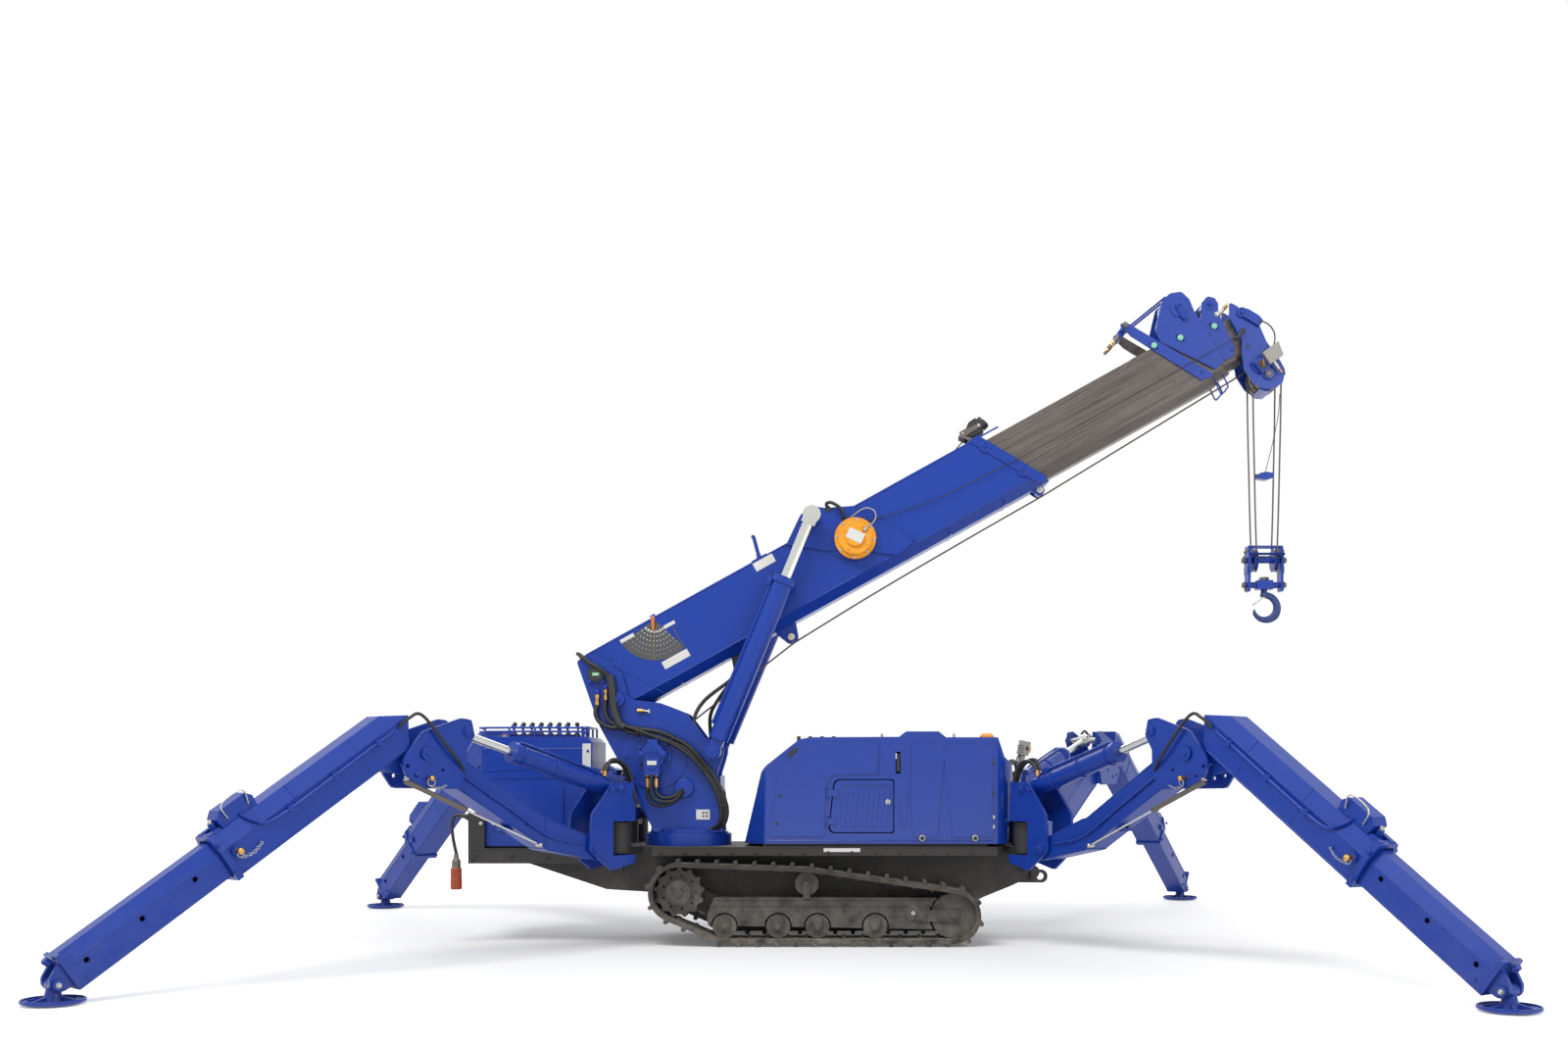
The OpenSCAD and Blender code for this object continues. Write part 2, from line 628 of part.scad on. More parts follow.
module winch_motor() {
    y0 = -mast_y - 14;
    color(paint) {
        bar_y(drum_c[0], drum_c[1], 84, y0 - 14, y0);
        bar_y(drum_c[0], drum_c[1], 58, y0 - 60, y0 - 13);
        block([drum_c[0] - 66, y0 - 66, drum_c[1] - 12], [drum_c[0] + 66, y0 - 20, drum_c[1] + 22]);
        block([drum_c[0] - 38, y0 - 72, drum_c[1] - 92], [drum_c[0] + 34, y0 - 10, drum_c[1] - 11]);
        block([drum_c[0] - 24, y0 - 56, drum_c[1] + 21], [drum_c[0] + 24, y0 - 16, drum_c[1] + 76]);
    }
}
drum_half = mast_gap / 2 - 8;
module winch_drum() {
    flange_r = drum_r + 52;
    color(raw_steel) difference() {
        union() {
            bar_y(drum_c[0], drum_c[1], drum_r, -drum_half, drum_half);
            for (s = [-1, 1]) bar_y(drum_c[0], drum_c[1], flange_r, s * (drum_half - 6) - 6, s * (drum_half - 6) + 6);
            // Rope coils as grooved rings.
            for (i = [0:11]) bar_y(drum_c[0], drum_c[1], drum_r + 14 + 8 * (i % 2),
                                   -drum_half + 12 + i * (2 * drum_half - 24) / 12,
                                   -drum_half + 12.01 + (i + 1) * (2 * drum_half - 24) / 12);
        }
        for (s = [-1, 1]) bar_y(drum_c[0], drum_c[1], 24 + fit, s * drum_half - 22, s * drum_half + 22);
    }
}

// Derrick cylinders, one each side of the boom
cyl_vec = cyl_high - cyl_low;
cyl_angle = atan2(cyl_vec[1], cyl_vec[0]);
cyl_len = norm(cyl_vec);
derrick_barrel_len = 878;

module on_cylinder(low, angle) {
    translate([low[0], 0, low[1]]) rotate([0, -angle, 0]) children();
}
module derrick_barrels() {
    color(paint) on_cylinder(cyl_low, cyl_angle) for (s = [-1, 1]) translate([0, s * derrick_y, 0]) difference() {
        union() {
            bar_y(0, 0, 38, -36, 36);
            block([0, -30, -30], [70, 30, 30]);
            bar_x(60, derrick_barrel_len, 0, 0, derrick_barrel_r);
            bar_x(derrick_barrel_len - 34, derrick_barrel_len, 0, 0, derrick_barrel_r + 8);
            // Hydraulic pipe along the barrel's back.
            bar_x(120, derrick_barrel_len - 20, 0, derrick_barrel_r + 5, 8);
            bar_x(derrick_barrel_len - 60, derrick_barrel_len - 20, 0, derrick_barrel_r + 14, 14);
        }
        bar_y(0, 0, 20 + fit, -60, 60);
        bar_x(80, derrick_barrel_len + 10, 0, 0, derrick_rod_r + fit);
    }
}
module derrick_rods() {
    color(steel) on_cylinder(cyl_low, cyl_angle) for (s = [-1, 1]) translate([0, s * derrick_y, 0]) {
        bar_x(cyl_len - 838, cyl_len - 30, 0, 0, derrick_rod_r);
        bar_y(cyl_len, 0, 42, -28, 28);
        block([cyl_len - 48, -28, -34], [cyl_len, 28, 34]);
        // The eye carries its own pin, which stops just short of the boom's boss.
        bar_y(cyl_len, 0, 20, s > 0 ? boom_w / 2 + 22 + near - derrick_y : -38,
              s > 0 ? 38 : derrick_y - boom_w / 2 - 22 - near);
    }
}

// Boom. The boom frame has its origin at the foot pin, x along the boom and z square to it.
module in_boom() {
    translate([foot_pin[0], 0, foot_pin[1]]) rotate([0, -boom_angle, 0]) children();
}
boom_top = 262;
first_drop = 12;
boom_step = boom_wall + boom_gap;
lean = 0.577;
pin_up = [1215, 309];
function side_y(k) = boom_w / 2 - k * boom_step;
function top_z(k) = boom_top - (k > 0 ? first_drop : 0) - k * boom_step;
function low_z(k) = boom_top - boom_h + k * boom_step;
// Section k's outline, shrunk by its inset.
function section_profile(k, inset = 0) =
    let (hw = side_y(k) - inset, top = top_z(k) - inset, low = low_z(k) + inset,
         rise = 44 - 6 * k - inset * 0.4, run = 52 - 7 * k - inset * 0.4)
    rounded([[-hw, top, 6], [hw, top, 6], [hw, low + rise, 0], [hw - run, low, 0],
             [run - hw, low, 0], [-hw, low + rise, 0]], 3);
module section_bar(k, x0, x1, inset = 0) {
    translate([x0, 0, 0]) rotate([90, 0, 90]) linear_extrude(x1 - x0) polygon(section_profile(k, inset));
}
function lean_x(x, z) = x - z * lean;
// Everything ahead of a mouth that leans like the collars.
module ahead(x) {
    plate([[lean_x(x, 420), 420], [lean_x(x, -240), -240], [x + 900, -240], [x + 900, 420]], 0, 400);
}
module section_tube(k, x0, x1) {
    difference() {
        section_bar(k, x0, x1 + 60);
        section_bar(k, x0 - 10, x1 + 70, boom_wall);
        ahead(x1);
    }
}

base_mouth = 2242;
second_mouth = 3176;
third_mouth = 3262;
fourth_mouth = 3346;
head_root = 3400;
second_len = 2100;
inner_len = 2040;
second_tail = base_mouth + second_out - second_len;
third_tail = second_tail + 120;
fourth_tail = third_tail + 70;
head_tail = fourth_tail + 70;

// Slide pads: on the floor at the mouth of section k, and on the back of the tail of section k.
module mouth_pad(k, x) {
    hw = side_y(k + 1);
    block([x - 50, -hw * 0.4, low_z(k + 1) - boom_gap - 0.5], [x, hw * 0.4, low_z(k + 1) - fit]);
}
module tail_pad(k, x) {
    block([x + 2, -side_y(k) * 0.7, top_z(k) - 0.5],
          [x + 62, side_y(k) * 0.7, top_z(k - 1) - boom_wall - fit]);
}
// Collar plates stand on both sides of section k.
module collar(k, outline, t) {
    for (s = [-1, 1]) plate(outline, s * (side_y(k) + t / 2 - 1), t);
}
module boom_base() {
    hw = boom_w / 2;
    color(paint) in_boom() {
        difference() {
            union() {
                difference() {
                    section_bar(0, -34, base_mouth + 70);
                    section_bar(0, 80, base_mouth + 80, boom_wall);
                    // Rear end is cut back below the foot pin.
                    plate([[-100, 70], [-34, 70], [-20, -34], [40, -110], [-100, -110]], 0, 400);
                    ahead(base_mouth);
                }
                // Front collar.
                for (s = [-1, 1])
                    plate(rounded([[lean_x(base_mouth - 56, 268), 268, 6], [lean_x(base_mouth, 268), 268, 6],
                        [lean_x(base_mouth, -50), -50, 14], [lean_x(base_mouth - 20, -72), -72, 6],
                        [lean_x(base_mouth - 56, -50), -50, 6]]), s * (hw + 3), 8);
                // Cheeks that carry the derrick cylinders, standing above the boom.
                for (s = [-1, 1]) plate(rounded([[1046, 256, 10], [1172, 346, 40], [1240, 356, 40], [1290, 318, 30],
                        [1402, 266, 20], [1480, 166, 10], [1590, -27, 20], [1480, -38, 20], [1384, 29, 30],
                        [1186, 149, 60]]), s * (hw + 4), 10);
                for (s = [-1, 1]) bar_y(pin_up[0], pin_up[1], 32, min(s * (hw - 1), s * (hw + 22)), max(s * (hw - 1), s * (hw + 22)));
                // Rope guide below the mouth.
                for (s = [-1, 1])
                    plate(rounded([[2190, -70, 0], [2246, -70, 6], [2262, -104, 20], [2214, -116, 20]]), s * 40, 10);
                // Rear guide under the boom.
                for (s = [-1, 1])
                    plate(rounded([[800, -74, 0], [910, -74, 0], [884, -152, 24], [832, -152, 24]]), s * 32, 8);
                // Hook rest on top.
                plate([[860, 258], [950, 258], [945, 280], [865, 280]], 0, 60);
            }
            bar_y(0, 0, foot_pin_r + fit, -300, 300);
        }
        bar_y(2232, -90, 9, -44, 44);
        bar_y(2232, -90, 24, -30, 30);
        bar_y(857, -128, 9, -36, 36);
        bar_y(857, -128, 24, -26, 26);
        mouth_pad(0, 2200);
        translate([905, 0, 276]) rotate([0, 14, 0]) cylinder(r = 9, h = 108);
    }
}
module cable_reel() {
    hw = boom_w / 2;
    color(amber) in_boom() {
        bar_y(1343, 121, 96, -hw - 38, -hw - 9);
        bar_y(1343, 121, 78, -hw - 60, -hw - 37);
        bar_y(1343, 121, 40, -hw - 72, -hw - 59);
    }
}
module boom_second() {
    color(raw_steel) in_boom() section_tube(1, second_tail, second_mouth);
    color(raw_steel) in_boom() tail_pad(1, second_tail);
    color(paint) in_boom() {
        collar(1, rounded([[2926, 404, 6], [2958, 400, 10], [3199, -10, 6], [3191, -22, 6], [3139, -16, 6], [2946, 330, 10]]), 9);
        for (s = [-1, 1]) bar_y(2946, 388, 9, min(s * (side_y(1) - 2), s * (side_y(1) + 20)), max(s * (side_y(1) - 2), s * (side_y(1) + 20)));
        mouth_pad(1, 3130);
    }
}
module boom_third() {
    hw = side_y(2);
    color(raw_steel) in_boom() section_tube(2, third_tail, third_mouth);
    color(raw_steel) in_boom() tail_pad(2, third_tail);
    color(paint) in_boom() {
        collar(2, rounded([[3062, 236, 0], [3067, 303, 10], [3163, 409, 20], [3211, 419, 20], [3262, 400, 24], [3277, 350, 10],
            [3270, 290, 10], [3276, 236, 10], [3283, 12, 8], [3224, 2, 8]]), 12);
        bar_y(3215, 339, 44, -hw - 16, hw + 16);
        bar_y(3215, 339, 80, -20, 20);
        mouth_pad(2, 3230);
    }
}
module boom_fourth() {
    hw = side_y(3);
    color(raw_steel) in_boom() section_tube(3, fourth_tail, fourth_mouth);
    color(raw_steel) in_boom() tail_pad(3, fourth_tail);
    color(paint) in_boom() {
        collar(3, rounded([[3281, 242, 0], [3323, 309, 20], [3364, 324, 16], [3390, 300, 10], [3392, 268, 10], [3372, 232, 10],
            [3362, 60, 20], [3338, 14, 16], [3288, 18, 10]]), 12);
        bar_y(3356, 286, 26, -hw - 15, hw + 15);
        mouth_pad(3, 3318);
    }
}
head_pin = [3437, -140];
head_half_w = 84;
module boom_head() {
    color(raw_steel) in_boom() difference() {
        section_bar(4, head_tail, head_root + 20);
        section_bar(4, head_tail - 10, head_root + 30, boom_wall);
    }
    color(raw_steel) in_boom() tail_pad(4, head_tail);
    color(paint) in_boom() {
        difference() {
            for (s = [-1, 1])
                plate(rounded([[3404, 187, 10], [3440, 248, 8], [3462, 214, 8], [3512, 90, 24], [3503, 0, 30],
                    [3517, -120, 30], [3505, -175, 24], [3476, -208, 24], [3426, -212, 24], [3380, -190, 24],
                    [3354, -140, 24], [3348, -60, 20], [3372, 6, 20], [3404, 60, 20]]),
                    s * (head_half_w - 5), 10);
            bar_y(head_pin[0], head_pin[1], 20 + fit, -100, 100);
        }
        block([3404, -head_half_w + 1, 60], [3420, head_half_w - 1, 170]);
        block([3462, -head_half_w + 1, 40], [3474, head_half_w - 1, 150]);
    }
}
module head_sheaves() {
    color(raw_steel) in_boom() {
        bar_y(head_pin[0], head_pin[1], 20, -head_half_w - 14, head_half_w + 14);
        for (y = [-54, 0, 54]) translate([head_pin[0], y, head_pin[1]]) rotate([90, 0, 0])
            rotate_extrude($fn = 48) polygon([[19, -16], [head_sheave_r + 6, -13], [head_sheave_r + 6, -9],
                [head_sheave_r - rope_r, -rope_r], [head_sheave_r - rope_r, rope_r], [head_sheave_r + 6, 9],
                [head_sheave_r + 6, 13], [19, 16]]);
    }
}

// Hoist: falls, block and hook hang plumb under the head pin.
head_pos = [foot_pin[0] + head_pin[0] * cos(boom_angle) - head_pin[1] * sin(boom_angle),
            foot_pin[1] + head_pin[0] * sin(boom_angle) + head_pin[1] * cos(boom_angle)];
block_z = head_pos[1] - block_drop;
block_sheave_r = 50;
block_half_x = 48;
module bar_between(a, b, r) {
    d = b - a;
    translate(a) rotate([0, acos(d[2] / norm(d)), atan2(d[1], d[0])]) cylinder(r = r, h = norm(d), $fn = 12);
}
module rope_falls() {
    color(raw_steel) for (sx = [-1, 1]) for (sy = [-1, 1])
        bar_between([head_pos[0] + sx * (head_sheave_r + 0.3), sy * 54, head_pos[1] - 6],
                    [head_pos[0] + sx * block_half_x, sy * (block_sheave_r + 0.3), block_z + 4], rope_r);
}
module hook_block() {
    color(paint) translate([head_pos[0], 0, block_z]) {
        difference() {
            union() {
                for (s = [-1, 1])
                    translate([s * 78, 0, 0]) rotate([0, 0, 90])
                        plate(rounded([[-30, 62, 14], [30, 62, 14], [46, 20, 20], [30, -150, 10], [-30, -150, 10], [-46, 20, 20]]), 0, 12);
                // Top guards, sheave pin and the cross head that carries the hook.
                for (s = [-1, 1]) block([-84, s * 24 - 5, 60], [84, s * 24 + 5, 68]);
                for (s = [-1, 1]) for (t = [-1, 1]) block([s * 78 - 6, t * 24 - 5, 50], [s * 78 + 6, t * 24 + 5, 66]);
                bar_x(-94, 94, 0, 0, 14);
                block([-38, -27, -140], [38, 27, -96]);
                bar_x(-94, 94, 0, -118, 15);
            }
            translate([0, 0, -150]) cylinder(r = 15 + fit, h = 60);
        }
    }
    color(raw_steel) translate([head_pos[0], 0, block_z]) for (s = [-1, 1]) translate([s * block_half_x, 0, 0])
        rotate([0, 90, 0]) rotate_extrude($fn = 40) polygon([[13, -10], [block_sheave_r + 6, -9], [block_sheave_r + 6, -7],
            [block_sheave_r - 4, -4], [block_sheave_r - 4, 4], [block_sheave_r + 6, 7], [block_sheave_r + 6, 9], [13, 10]]);
}
hook_c_z = block_z - 225;
module hook() {
    // Nut above the cross head, shank through it and a bowl that thickens towards its bottom.
    color(paint) translate([head_pos[0], 0, 0]) {
        translate([0, 0, block_z - 96 + near]) cylinder(r = 24, h = 15);
        translate([0, 0, hook_c_z + hook_r + 16]) cylinder(r = 15, h = block_z - 90 - hook_c_z - hook_r - 16);
        translate([0, 0, hook_c_z]) rotate([90, 0, 0]) {
            steps = 14;
            for (i = [0:steps - 1]) {
                a = 95 - i * 265 / steps;
                b = 95 - (i + 1) * 265 / steps;
                w0 = hook_width(i / steps);
                w1 = hook_width((i + 1) / steps);
                hull() {
                    rotate(a) translate([hook_r + w0, 0, 0]) rotate([90, 0, 0]) linear_extrude(0.5) scale([w0, 0.8 * w0]) circle(r = 1, $fn = 16);
                    rotate(b) translate([hook_r + w1, 0, 0]) rotate([90, 0, 0]) linear_extrude(0.5) scale([w1, 0.8 * w1]) circle(r = 1, $fn = 16);
                }
            }
        }
    }
}
function hook_width(f) = f < 0.5 ? 15 + 10 * f : 20 - 26 * (f - 0.5);

// Outriggers. Each works in its own plane: u outwards from the swing post, z up.
lower_pin = [175, 455];
upper_pin = [52, 724];
rod_pin = [866, 968];
knuckle = [1062, 872];
arm_offset = 141;
foot_offset = 125;
foot_pin_z = 70;
leg_pin_r = 16;
bracket_half = 82;
knuckle_half = 90;
lock_r = 100;
beam_len = 960;
beam_h = outer_arm_h - 2 * outer_arm_wall - 2 * beam_gap;
beam_w = outer_arm_w - 2 * outer_arm_wall - 2 * beam_gap;

function leg_named(name) = [for (leg = LEGS) if (leg[0] == name) leg][0];
function leg_reach(leg) = norm([leg[3] - leg[1], leg[4] - leg[2] * post_y]);
function leg_turn(leg) = atan2(leg[4] - leg[2] * post_y, leg[3] - leg[1]);
function arm_span(leg) =
    sqrt(pow(leg_reach(leg) - knuckle[0], 2) + pow(knuckle[1] - foot_pin_z, 2) - foot_offset * foot_offset);
function arm_slope(leg) =
    atan2(foot_pin_z - knuckle[1], leg_reach(leg) - knuckle[0]) - atan2(foot_offset, arm_span(leg));

module on_leg(leg) {
    translate([leg[1], leg[2] * post_y, 0]) rotate([0, 0, leg_turn(leg)]) children();
}
module on_arm(leg) {
    on_leg(leg) translate([knuckle[0], 0, knuckle[1]]) rotate([0, -arm_slope(leg), 0]) children();
}
module on_lift(leg) {
    d = rod_pin - upper_pin;
    on_leg(leg) translate([upper_pin[0], 0, upper_pin[1]]) rotate([0, -atan2(d[1], d[0]), 0]) children();
}
module bracket(leg) {
    inner = bracket_half - leg_plate_t;
    color(paint) on_leg(leg) {
        difference() {
            union() {
                for (s = [-1, 1]) plate(rounded([[-30, 752, 14], [96, 752, 30], [214, 610, 30], [229, 448, 30],
                        [100, 352, 20], [-34, 384, 10], [-34, swing_low_z - 6, 0], [92, swing_low_z - 6, 0],
                        [92, swing_high_z + 6, 0], [-34, swing_high_z + 6, 0], [-34, 640, 20], [-20, 690, 20]]),
                    s * (inner + leg_plate_t / 2), leg_plate_t);
                block([-34, -inner - 1, swing_high_z + 6], [92, inner + 1, swing_high_z + 32]);
                block([-34, -inner - 1, swing_low_z - 32], [92, inner + 1, swing_low_z - 6]);
                block([92, -inner - 1, swing_low_z - 32], [110, inner + 1, swing_low_z - 6]);
                bar_y(upper_pin[0], upper_pin[1], 26, -bracket_half - 5, -inner);
                bar_y(upper_pin[0], upper_pin[1], 26, inner, bracket_half + 5);
                bar_y(lower_pin[0], lower_pin[1], 34, -bracket_half - 6, -inner);
                bar_y(lower_pin[0], lower_pin[1], 34, inner, bracket_half + 6);
            }
            // Room for the root of the inner arm.
            bar_y(lower_pin[0], lower_pin[1], 62, -inner, inner);
        }
        bar_y(upper_pin[0], upper_pin[1], leg_pin_r, -bracket_half, bracket_half);
        bar_y(lower_pin[0], lower_pin[1], leg_pin_r + 4, -bracket_half, bracket_half);
        translate([0, 0, swing_low_z - 24]) cylinder(r = swing_bore_r - fit, h = swing_high_z - swing_low_z + 60);
    }
}
module inner_arm(leg) {
    half = inner_arm_w / 2;
    kin = knuckle_half - leg_plate_t;
    color(paint) on_leg(leg) difference() {
        union() {
            bar_y(lower_pin[0], lower_pin[1], 50, -half, half);
            plate([[lower_pin[0], 405], [lower_pin[0] + 20, 505], [430, 596], [455, 600], [455, 462], [440, 456]], 0, inner_arm_w);
            // Upper stretch, a chamfered box.
            plate([[440, 456], [455, 600], [868, 852], [920, 852], [920, 742], [890, 722]], 0, inner_arm_w);
            // Knuckle cheeks.
            for (s = [-1, 1]) plate(rounded([[832, 949, 20], [848, 1016, 30], [900, 1020, 30], [1080, 962, 30],
                    [1130, 900, 40], [1188, 830, 70], [1118, 732, 40], [900, 728, 20], [872, 800, 10], [870, 890, 20]]),
                s * (kin + leg_plate_t / 2), leg_plate_t);
            for (s = [-1, 1]) bar_y(rod_pin[0], rod_pin[1], 24, min(s * kin, s * (knuckle_half + 6)), max(s * kin, s * (knuckle_half + 6)));
            for (s = [-1, 1]) block([880, min(s * (half - 1), s * (kin + 1)), 735], [930, max(s * (half - 1), s * (kin + 1)), 850]);
            bar_y(knuckle[0], knuckle[1], leg_pin_r, -knuckle_half - 8, knuckle_half + 8);
        }
        bar_y(lower_pin[0], lower_pin[1], leg_pin_r + 4 + fit, -100, 100);
        // Hollow of the welded box.
        plate([[245, 430], [245, 512], [436, 584], [450, 586], [860, 838], [900, 838], [900, 752], [886, 736], [436, 470]],
              0, inner_arm_w - 16);
        // Lock holes round the knuckle pin.
        for (a = [-30, -62, -95, -140]) bar_y(knuckle[0] + lock_r * cos(a), knuckle[1] + lock_r * sin(a), 9, -100, 100);
    }
}
module lift_barrel(leg) {
    len = 560;
    color(paint) on_lift(leg) difference() {
        union() {
            bar_y(0, 0, 32, -30, 30);
            bar_x(20, len, 0, 0, lift_barrel_r);
            bar_x(len - 26, len, 0, 0, lift_barrel_r + 5);
            bar_x(120, len - 30, 0, lift_barrel_r + 4, 6);
        }
        bar_y(0, 0, leg_pin_r + fit, -60, 60);
        bar_x(70, len + 10, 0, 0, lift_rod_r + fit);
    }
}
module lift_rod(leg) {
    len = norm(rod_pin - upper_pin);
    color(steel) on_lift(leg) {
        bar_x(len - 470, len - 24, 0, 0, lift_rod_r);
        bar_y(len, 0, 32, -26, 26);
        // The eye carries its own pin, which stops just short of the knuckle plates.
        bar_y(len, 0, leg_pin_r, leg_plate_t - knuckle_half + near, knuckle_half - leg_plate_t - near);
    }
}
function box_profile(w, h, low) =
    [[-w / 2, low], [w / 2, low], [w / 2, low + h * 0.66], [w / 2 - 24, low + h], [24 - w / 2, low + h], [-w / 2, low + h * 0.66]];
module box_bar(w, h, low, x0, x1) {
    translate([x0, 0, 0]) rotate([90, 0, 90]) linear_extrude(x1 - x0) polygon(box_profile(w, h, low));
}
arm_end = 915;
arm_low = arm_offset - outer_arm_h / 2;
module outer_arm(leg) {
    lug_y = 34;
    color(paint) on_arm(leg) {
        difference() {
            union() {
                difference() {
                    box_bar(outer_arm_w, outer_arm_h, arm_low, -40, arm_end);
                    box_bar(outer_arm_w - 2 * outer_arm_wall, outer_arm_h - 2 * outer_arm_wall, arm_low + outer_arm_wall, 40, arm_end + 10);
                    plate([[-60, 0], [60, 0], [20, arm_low + 40], [-28, 168], [92, 240], [60, 300], [-60, 300]], 0, 200);
                }
                // Collar at the mouth.
                difference() {
                    box_bar(outer_arm_w + 16, outer_arm_h + 16, arm_low - 8, arm_end - 26, arm_end);
                    box_bar(outer_arm_w - 2 * outer_arm_wall, outer_arm_h - 2 * outer_arm_wall, arm_low + outer_arm_wall, arm_end - 60, arm_end + 10);
                }
                // Pivot lugs below the box.
                for (s = [-1, 1]) plate(rounded([[-38, 30, 20], [-30, -34, 30], [40, -40, 30], [118, -20, 20], [200, 60, 0], [20, 70, 0]]), s * lug_y, 14);
                // Float switch housing on top.
                block([690, -34, arm_low + outer_arm_h - 4], [835, 34, arm_low + outer_arm_h + 52]);
                for (s = [-1, 1]) block([852, s * 34 - 12, arm_low + outer_arm_h - 2], [905, s * 34 + 12, arm_low + outer_arm_h + 12]);
            }
            bar_y(0, 0, leg_pin_r + fit, -60, 60);
            bar_y(lock_r * cos(-arm_slope(leg) - 30), lock_r * sin(-arm_slope(leg) - 30), 9, -60, 60);
            bar_y(860, arm_offset, 10, -100, 100);
        }
        // Slide pad on the floor of the mouth.
        block([arm_end - 70, -40, arm_low + outer_arm_wall - 0.5], [arm_end - 30, 40, arm_low + outer_arm_wall + beam_gap - fit]);
    }
}
module beam(leg) {
    span = arm_span(leg);
    low = arm_low + outer_arm_wall + beam_gap;
    color(paint) on_arm(leg) {
        difference() {
            union() {
                box_bar(beam_w, beam_h, low, span - beam_len, span - 46);
                for (s = [-1, 1]) {
                    plate(rounded([[span - 120, low + 50, 0], [span - 60, low + 20, 0], [span, foot_offset - 30, 30],
                        [span + 32, foot_offset, 30], [span + 10, foot_offset + 34, 30], [span - 60, low + beam_h - 20, 0],
                        [span - 120, low + beam_h - 20, 0]]), s * 34, 14);
                }
            }
            box_bar(beam_w - 14, beam_h - 14, low + 7, span - beam_len - 10, span - 70);
            bar_y(span, foot_offset, 12 + fit, -100, 100);
            for (k = [0:2]) bar_y(span - 120 - k * 230, arm_offset, 10, -100, 100);
        }
        // Slide pad on top of the beam's tail.
        block([span - beam_len + 4, -26, low + beam_h - 0.5], [span - beam_len + 60, 26, low + beam_h + beam_gap - fit]);
    }
}
module foot(leg) {
    color(paint) on_leg(leg) translate([leg_reach(leg), 0, 0]) {
        bar_y(0, foot_pin_z, 12, -46, 46);
        bar_y(0, foot_pin_z, 24, -24, 24);
        translate([0, 0, 8]) cylinder(r1 = 34, r2 = 20, h = foot_pin_z - 8);
        rotate_extrude($fn = 56) polygon([[0, 0], [pad_r - 24, 0], [pad_r, 10], [pad_r, 18], [pad_r - 26, 10], [0, 12]]);
    }
}

module leg_piece(leg, piece) {
    if (piece == "bracket") bracket(leg);
    if (piece == "inner_arm") inner_arm(leg);
    if (piece == "lift_barrel") lift_barrel(leg);
    if (piece == "lift_rod") lift_rod(leg);
    if (piece == "outer_arm") outer_arm(leg);
    if (piece == "beam") beam(leg);
    if (piece == "foot") foot(leg);
}

chassis_frame();
tracks();
track_frames();
track_wheels();
slew_base();
engine_cowl();
cowl_hatch();
engine_block();
control_box();
control_levers();
beacon();
front_guard();
power_lead();
power_plug();
mast_frame();
winch_motor();
winch_drum();
derrick_barrels();
derrick_rods();
boom_base();
cable_reel();
boom_second();
boom_third();
boom_fourth();
boom_head();
head_sheaves();
rope_falls();
hook_block();
hook();
for (leg = LEGS)
    for (piece = ["bracket", "inner_arm", "lift_barrel", "lift_rod", "outer_arm", "beam", "foot"])
        leg_piece(leg, piece);
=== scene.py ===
"""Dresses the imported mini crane: paint, steel, rubber, hoses, rope and small fittings, with a plain studio round it."""

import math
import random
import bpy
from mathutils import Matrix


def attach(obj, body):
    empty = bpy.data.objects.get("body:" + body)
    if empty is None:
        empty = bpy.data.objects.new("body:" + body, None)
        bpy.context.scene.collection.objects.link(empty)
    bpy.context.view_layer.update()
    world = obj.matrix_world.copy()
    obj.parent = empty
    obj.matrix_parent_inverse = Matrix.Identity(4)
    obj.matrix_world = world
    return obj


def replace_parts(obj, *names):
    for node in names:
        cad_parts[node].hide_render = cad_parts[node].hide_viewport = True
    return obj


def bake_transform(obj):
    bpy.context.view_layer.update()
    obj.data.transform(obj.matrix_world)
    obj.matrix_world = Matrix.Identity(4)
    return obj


bl_info = {
    "name": "Tracked Mini Crane Dressing",
    "version": (1, 0, 0),
    "blender": (4, 5, 0),
    "location": "3D View > Sidebar > Mini Crane",
    "description": "Finishes and small fittings for a tracked mini crane on four outriggers",
    "category": "Object",
}

import bmesh
import bpy
from bpy.props import FloatProperty, FloatVectorProperty, IntProperty, PointerProperty
from mathutils import Matrix, Vector

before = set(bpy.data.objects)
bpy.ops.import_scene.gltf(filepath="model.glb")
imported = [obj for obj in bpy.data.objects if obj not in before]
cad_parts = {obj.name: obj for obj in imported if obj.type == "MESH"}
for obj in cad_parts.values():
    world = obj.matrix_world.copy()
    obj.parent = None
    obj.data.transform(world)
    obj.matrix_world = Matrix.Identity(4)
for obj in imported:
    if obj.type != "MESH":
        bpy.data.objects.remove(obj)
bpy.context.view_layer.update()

# Places: every fitting is measured in millimetres in the frame of the part that carries it.
MM = Matrix.Scale(0.001, 4)
ROW = MM
FOOT_PIN = (-820, 0, 1138)
BOOM_TILT = math.radians(29)


def place(origin, turn=0.0, tilt=0.0, base=None):
    """Frame with its origin in millimetres, turned about Z and then tilted up about Y."""
    at = Matrix.Translation(Vector(origin))
    made = at @ Matrix.Rotation(turn, 4, "Z") @ Matrix.Rotation(-tilt, 4, "Y")
    return (base if base is not None else MM) @ made


BOOM = place(FOOT_PIN, 0, BOOM_TILT)
POSTS = {
    "rear_near": (-794, -310, -2465, -2130),
    "front_near": (1085, -310, 2465, -2290),
    "rear_far": (-794, 310, -2455, 1700),
    "front_far": (1085, 310, 2335, 2290),
}
KNUCKLE = (1062, 0, 872)
UPPER_PIN = (52, 0, 724)
ROD_PIN = (866, 0, 968)
FOOT_DROP = 125
FOOT_PIN_Z = 70


